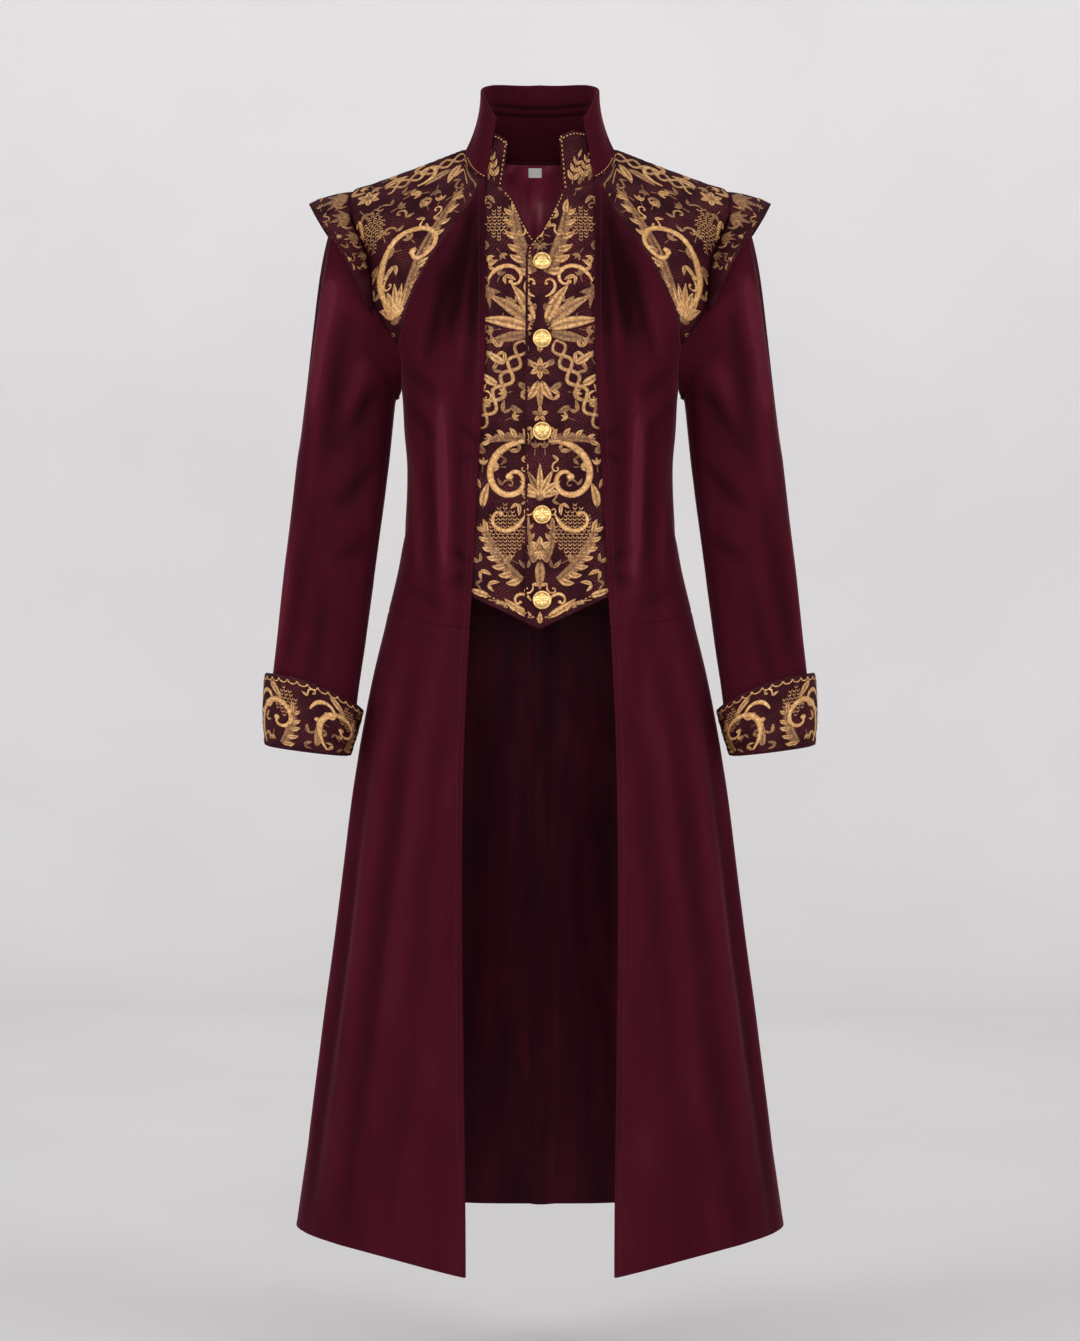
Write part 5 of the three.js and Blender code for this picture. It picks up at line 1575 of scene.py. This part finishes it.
class PanelPlaces:
    """Finds places on a grid of cloth by mm along its rows and across its columns, inside its outline."""

    def __init__(self, points, normals, along, across, clearance, sign):
        self.grids = flip(points, sign), flip(normals, sign), clearance[..., None]
        self.along, self.across = along, across

    def __call__(self, p, q):
        shape, p, q = p.shape, p.ravel(), q.ravel()
        row = np.interp(p, self.along, np.arange(len(self.along)))
        low = np.minimum(row.astype(int), len(self.along) - 2)
        f = (row - low)[:, None]
        across = mix(self.across[low], self.across[low + 1], f)
        column = np.clip((across < q[:, None]).sum(axis=1) - 1, 0, across.shape[1] - 2)
        pick = np.arange(len(q))
        left, right = across[pick, column], across[pick, column + 1]
        g = np.clip((q - left) / np.maximum(right - left, 1e-6), 0, 1)[:, None]
        found = []
        for grid in self.grids:
            upper = mix(grid[low, column], grid[low, column + 1], g)
            lower = mix(grid[low + 1, column], grid[low + 1, column + 1], g)
            found.append(mix(upper, lower, f))
        inside = (found[2][:, 0] > 0) & (p > self.along[0]) & (p < self.along[-1])
        inside &= (q > across[:, 0]) & (q < across[:, -1])
        return found[0].reshape(*shape, 3), found[1].reshape(*shape, 3), inside.reshape(shape)


def grid_places(points, normals, along, sign, margin):
    """Places on a panel's own grid, from its first column."""
    clearance = np.min(list(edge_distances(points).values()), axis=0) - margin
    return PanelPlaces(points, normals, along, arc_lengths(points, 1), clearance, sign)


YOKE_DROP = 255
FIGURE_MARGIN = 2.2


def yoke_places(sign, from_back):
    """Places on the front or back of a yoke, by x and by mm down from the shoulder's top line."""
    edge = YOKE_BACK_EDGE if from_back else YOKE_FRONT_EDGE
    x = np.linspace(edge[0][0] + 1, 221, 54)[:, None]
    wider = lambda at: body_ring(at)["half_width"] - x
    top_at = solve_rising(wider, np.zeros(x.shape), np.full(x.shape, float(SHOULDER_POINT)))
    angle = np.degrees(np.arcsin(np.minimum(x / body_ring(top_at)["half_width"], 1)))
    top_z = body_point(180 - angle if from_back else angle, top_at)[..., 2]
    z = top_z - 0.5 - YOKE_DROP * np.linspace(0, 1, 70) ** 1.5
    angle, at = place_seen(np.broadcast_to(x, z.shape), z, from_back)
    points, normals = body_cloth(angle, at)
    side = -1 if from_back else 1
    edge_line = body_point(*yoke_edge(edge, from_back, np.linspace(0, 1, 40)))
    arm_line = body_point(*armhole(side * np.linspace(0, YOKE_TIP, 40)))
    clearance = np.minimum(nearest_on_line(points, edge_line)[0], nearest_on_line(points, arm_line)[0])
    fall = (np.clip(at, SHOULDER_POINT, UNDERARM) - SHOULDER_POINT) / (UNDERARM - SHOULDER_POINT)
    swing = ARMHOLE_SWING * np.sqrt(1 - (1 - 2 * fall) ** 2)
    edge_x, edge_z = np.array(edge, dtype=float).T
    inside = (z > np.interp(x, edge_x, edge_z)) & ((at < SHOULDER_POINT) | (np.abs(90 - angle) > swing))
    clearance = np.where(inside, clearance, -clearance) - FIGURE_MARGIN
    return PanelPlaces(points, normals, x[:, 0], arc_lengths(points, 1), clearance, sign)


def fill_gaps(strokes, place, box, spacing, size, seed):
    """Adds sprigs, leaves and curls on open ground until figures lie about evenly."""
    random = np.random.default_rng(seed)
    spots = random.uniform(box[0], box[1], (1600, 2))
    inside = place(spots[:, 0], spots[:, 1])[2]
    taken = np.concatenate([stroke.line for stroke in strokes])
    for spot in spots[inside]:
        if np.hypot(*(taken - spot).T).min() < spacing:
            continue
        heading, kind = random.uniform(0, 360), random.integers(3)
        tone = random.choice([GILT, GILT, 0.5, BRONZE])
        if kind == 0:
            added = sprig(spot, heading, size, tone)
        elif kind == 1:
            added = leaf(spot, heading, size * 1.2, size * 0.46, 40, tone)
            added += leaf(spot, heading + 70, size * 0.9, size * 0.36, -30, tone)
        else:
            added = curl(spot, heading, size * 1.9, size * 0.26, 330, tone)
            added += leaf(spot, heading - 60, size * 0.8, size * 0.34, 20, tone)
        strokes = strokes + added
        taken = np.concatenate([taken] + [stroke.line for stroke in added])
    return strokes


def vest_places(side, sign):
    """Finds places on a half of the vest by x and z, seen from the front."""

    def place(x, z):
        own = x * sign
        angle, at = place_seen(own, z)
        points, normals = body_cloth(angle, at, VEST_DEPTH + vest_sink(side, own, -z))
        hem = VEST_HEM_POINT + VEST_HEM_RISE * np.abs(own)
        edge = vest_edge[side](-z)
        reach = front_edge(-z)["x"] + 5
        neck_z = body_point(angle, NECK)[..., 2]
        inside = (own > edge + 1.2) & (own < reach) & (z > hem + 3.5) & (z < neck_z - 1.5)
        return flip(points, sign), flip(normals, sign), inside

    return place


def vest_figures():
    """The vest's design on both sides of its middle: plumes, twisted vines and facing scrolls."""
    half = []
    # Beside the neck: a plume that rises outwards, a curl over it and a woven patch of scales.
    half += acanthus((7, -158), 62, 92, 26, 6, 24, -1)
    half += curl((60, -168), 116, 70, 7, 320)
    half += scales((47, -96), 30, 44, 4.8)
    half += fan((60, -176), 262, 24, 5, 120, BRONZE)
    # Five broad leaves that spread from the second button.
    half += leaf((7, -216), 64, 52, 15, -26)
    half += leaf((8, -219), 38, 62, 16, -22, 0.55)
    half += leaf((9, -223), 14, 62, 15, -20)
    half += leaf((9, -228), -10, 54, 13, -12, BRONZE)
    half += curl((6, -186), 20, 36, 5, 300)
    # Twisted vines with side leaves.
    half += twisted_vine((18, -236), -68, 112, 14, 15, 38, 0.5)
    for height, x in ((-262, 40), (-286, 48), (-310, 56)):
        half += leaf((x, height), 30, 25, 10, 30)
    for height, x in ((-258, 17), (-284, 25), (-310, 34)):
        half += leaf((x, height), 212, 17, 8, -30, BRONZE)
    # Small hanging bell between the vines.
    half += leaf((2, -282), -64, 27, 11, 40)
    half += leaf((1, -286), -92, 26, 9, 20, 0.5)
    # Facing scrolls over bodies of scales.
    half += curl((10, -350), -2, 150, 11, -455)
    half += acanthus((12, -352), 24, 56, -50, 4, 17, 1)
    half += leaf((62, -362), 30, 22, 10, 30, BRONZE)
    half += scales((40, -452), 54, 70, 5)
    half += curl((17, -432), -64, 66, 7, 300)
    half += leaf((66, -424), 100, 30, 11, 30)
    half += acanthus((20, -506), 34, 84, 46, 7, 20, -1)
    half += acanthus((6, -486), 66, 50, 30, 4, 15, 1, 0.6)
    # Leaves over the hem.
    half += leaf((8, -549), 30, 40, 12, 22)
    half += leaf((34, -535), 8, 34, 11, 30, 0.55)
    half += leaf((58, -524), 16, 26, 10, 26)
    half += curl((10, -530), 60, 34, 5, -330)
    middle = fan((0, -412), 90, 38, 7, 150)
    middle += flower((0, -470), 13, 6)
    middle += leaf((0, -484), -90, 34, 13, 0, 0.5)
    middle += flower((0, -268), 12, 6)
    middle += leaf((0, -250), 90, 22, 9)
    middle += flower((0, -320), 9, 5)
    middle += leaf((0, -556), 90, 14, 7)
    box = (2, -545), (78, -60)
    half = fill_gaps(half + middle, vest_places("left", 1), box, 8, 12, 3)
    return mirrored(half)


def yoke_figures():
    """The yoke's design by x and by mm down from the shoulder's top line, for its front and its back."""
    design = []
    design += acanthus((158, 202), -113, 150, -12, 8, 22, -1)
    design += curl((172, 196), -62, 185, 11, -420)
    design += fan((165, 214), -88, 44, 7, 70)
    design += scales((190, 92), 26, 62, 4.8)
    design += flower((199, 34), 14, 6)
    design += twisted_vine((84, 12), 4, 96, 14, 14, 34, 0.5)
    design += leaf((182, 20), 200, 30, 11, -30)
    design += leaf((92, 26), 60, 34, 12, 30)
    design += leaf((102, 30), 20, 36, 12, 30, 0.5)
    design += curl((142, 40), 190, 60, 7, 340)
    design += leaf((210, 66), 100, 30, 10, 20)
    design += leaf((186, 138), 60, 24, 10, 30, BRONZE)
    return design


def wing_figures():
    """Bronze fans of leaves that spread outwards over the wing, by mm along the armhole and out from it."""
    design = []
    for along in (-100, -74, -46, -16, 16, 46, 74, 100):
        reach = 40 - 0.26 * abs(along)
        design += fan((along, 1), 90, reach, 5, 84, BRONZE)
        design += curl((along + 14, 3), 80, reach * 0.9, 4, 300, 0.4)
    return design


CUFF_HEIGHT = 92
CUFF_ROUND = 330
SCALLOPS = 26


def cuff_figures():
    """Scrolls, scales and leaves round the cuff under a scalloped border, by mm round and up."""
    design = []
    repeats = 4
    step = CUFF_ROUND / repeats
    for k in range(repeats):
        start = k * step
        design += curl((start + 22, 5), 112, 140, 10, -430)
        design += scales((start + 58, 64), 34, 38, 5)
        design += acanthus((start + 50, 6), 50, 58, 40, 5, 18, -1)
        design += curl((start + 8, 60), 60, 60, 7, -360)
        design += leaf((start + 34, 84), -40, 28, 10, -30)
        design += leaf((start + 10, 8), 80, 30, 10, 30, 0.5)
        design += bud((start + 16, 48), 4)
    for k in range(SCALLOPS):
        turn = np.linspace(0, math.pi, 9)
        centre = (k + 0.5) * CUFF_ROUND / SCALLOPS
        arc = np.stack([centre + 6 * np.cos(turn), CUFF_HEIGHT - 2.6 - 4.5 * np.sin(turn)], axis=-1)
        design.append(Stroke(arc, np.full(9, 0.9), GILT, "plain"))
    return design


def swapped(strokes):
    """The strokes with their two directions exchanged."""
    return [stroke._replace(line=stroke.line[:, ::-1]) for stroke in strokes]


def add_figure(name, strokes, place):
    mesh = figure_mesh(f"{name}_figures", strokes, place)
    add_object(f"{name}_figures", mesh, [GILT_THREAD])


def add_figures():
    """The woven figures on the vest, yokes, wings, cuffs and vest collars."""
    vest_design = vest_figures()
    yoke_design = yoke_figures()
    yoke_box = (42, 2), (220, 235)
    fronts = fill_gaps(yoke_design, yoke_places(1, False), yoke_box, 9, 14, 5)
    backs = fill_gaps(yoke_design, yoke_places(1, True), yoke_box, 9, 14, 8)
    wing_points, wing_normals = wing_surface(91, 22)
    wing_along = arc_lengths(wing_points, 0)[:, 0]
    wing_along = wing_along - wing_along[45]
    wing = grid_places(wing_points, wing_normals, wing_along, 1, 1.5)
    wing_design = fill_gaps(wing_figures(), wing, ((-120, 2), (120, 48)), 6, 9, 2)
    cuff_points, cuff_normals = cuff_surface()
    cuff_along = np.linspace(0, CUFF_HEIGHT, len(cuff_points))
    cuff = grid_places(cuff_points, cuff_normals, cuff_along, 1, 1.2)
    cuff_design = fill_gaps(swapped(cuff_figures()), cuff, ((2, 2), (84, 340)), 8, 11, 4)
    for side, sign in SIDES:
        add_figure(f"vest_{side}", vest_design, vest_places(side, sign))
        add_figure(f"yoke_front_{side}", fronts, yoke_places(sign, False))
        add_figure(f"yoke_back_{side}", backs, yoke_places(sign, True))
        add_figure(f"wing_{side}", wing_design, grid_places(wing_points, wing_normals, wing_along, sign, 1.5))
        add_figure(f"cuff_{side}", cuff_design, grid_places(cuff_points, cuff_normals, cuff_along, sign, 1.2))
        points, normals = vest_collar_surface(side)
        along = arc_lengths(points, 0)[:, 0]
        collar_design = []
        for base in (11, 27, 43, 58):
            collar_design += spray((5, base), 14, 30, 24, 3, 14, 7)
            collar_design += leaf((3, base + 8), 40, 14, 6, 20, BRONZE)
        add_figure(f"vest_collar_{side}", collar_design, grid_places(points, normals, along, sign, 2.4))


# Stage, lights and camera


STUDIO_RADIUS = 5600
STUDIO_CURVE = 1500
STUDIO_HEIGHT = 2900
STUDIO_SIDES = 96


def add_stage():
    """A round pale studio: a level floor that curves up into a wall, the same from every side."""
    arc = np.radians(np.linspace(-90, 0, 20))
    radius = np.concatenate([[1], STUDIO_RADIUS - STUDIO_CURVE * (1 - np.cos(arc)), [STUDIO_RADIUS]])
    height = np.concatenate([[0], STUDIO_CURVE * (1 + np.sin(arc)), [STUDIO_HEIGHT]]) + FLOOR_HEIGHT
    turn = np.linspace(0, 2 * math.pi, STUDIO_SIDES + 1)[:, None]
    points = np.stack([radius * np.cos(turn), radius * np.sin(turn), height + 0 * turn], axis=-1)
    columns = len(radius)
    faces = [
        (i * columns + j, i * columns + j + 1, (i + 1) * columns + j + 1, (i + 1) * columns + j)
        for i in range(STUDIO_SIDES)
        for j in range(columns - 1)
    ]
    mesh = make_mesh("studio_round", points.reshape(-1, 3), faces, points[..., :2].reshape(-1, 2))
    mesh.materials.append(PAPER)
    studio = bpy.data.objects.new("studio_round", mesh)
    bpy.context.scene.collection.objects.link(studio)


def add_area_light(name, location, target, size, power):
    light = bpy.data.lights.new(name, "AREA")
    light.shape = "RECTANGLE"
    light.size, light.size_y = size[0] * MM, size[1] * MM
    light.energy = power
    lamp = bpy.data.objects.new(name, light)
    lamp.location = np.array(location) * MM
    aim = Vector(np.array(target, dtype=float) - np.array(location, dtype=float))
    lamp.rotation_euler = aim.to_track_quat("-Z", "Y").to_euler()
    bpy.context.scene.collection.objects.link(lamp)


def add_lights():
    """Two large soft boxes in front, a fill by the camera, a top light and two lights on the wall."""
    middle = (0, 0, -600)
    add_area_light("key_left", (-2700, -1900, 500), middle, (1200, 2200), 56)
    add_area_light("key_right", (2700, -1900, 500), middle, (1200, 2200), 48)
    add_area_light("fill", (0, -4200, -250), (0, 0, -450), (1600, 1400), 66)
    add_area_light("top", (0, -500, 2300), middle, (2200, 1200), 20)
    add_area_light("backdrop", (0, 2300, 2600), (0, 5200, -900), (5200, 1200), 115)
    add_area_light("wall_behind_camera", (0, -2300, 2600), (0, -5200, -900), (5200, 1200), 60)
    world = bpy.data.worlds.new("studio")
    world.use_nodes = True
    background = world.node_tree.nodes["Background"]
    background.inputs["Color"].default_value = linear("EDECEE")
    background.inputs["Strength"].default_value = 0.25
    bpy.context.scene.world = world
    bpy.context.scene.view_settings.view_transform = "Standard"


def add_camera():
    data = bpy.data.cameras.new("camera")
    data.sensor_fit = "AUTO"
    data.sensor_width = CAMERA_SENSOR
    data.lens = CAMERA_LENS
    data.clip_end = 100
    camera = bpy.data.objects.new("camera", data)
    camera.location = (0, -CAMERA_DISTANCE * MM, CAMERA_HEIGHT * MM)
    camera.rotation_euler = (math.radians(90), 0, 0)
    bpy.context.scene.collection.objects.link(camera)
    bpy.context.scene.camera = camera


add_camera()
add_body_panels()
add_sleeves()
add_armhole_tapes()
add_trimmed_panels()
add_buttons()
add_figures()
add_all_stitches()
add_stage()
add_lights()
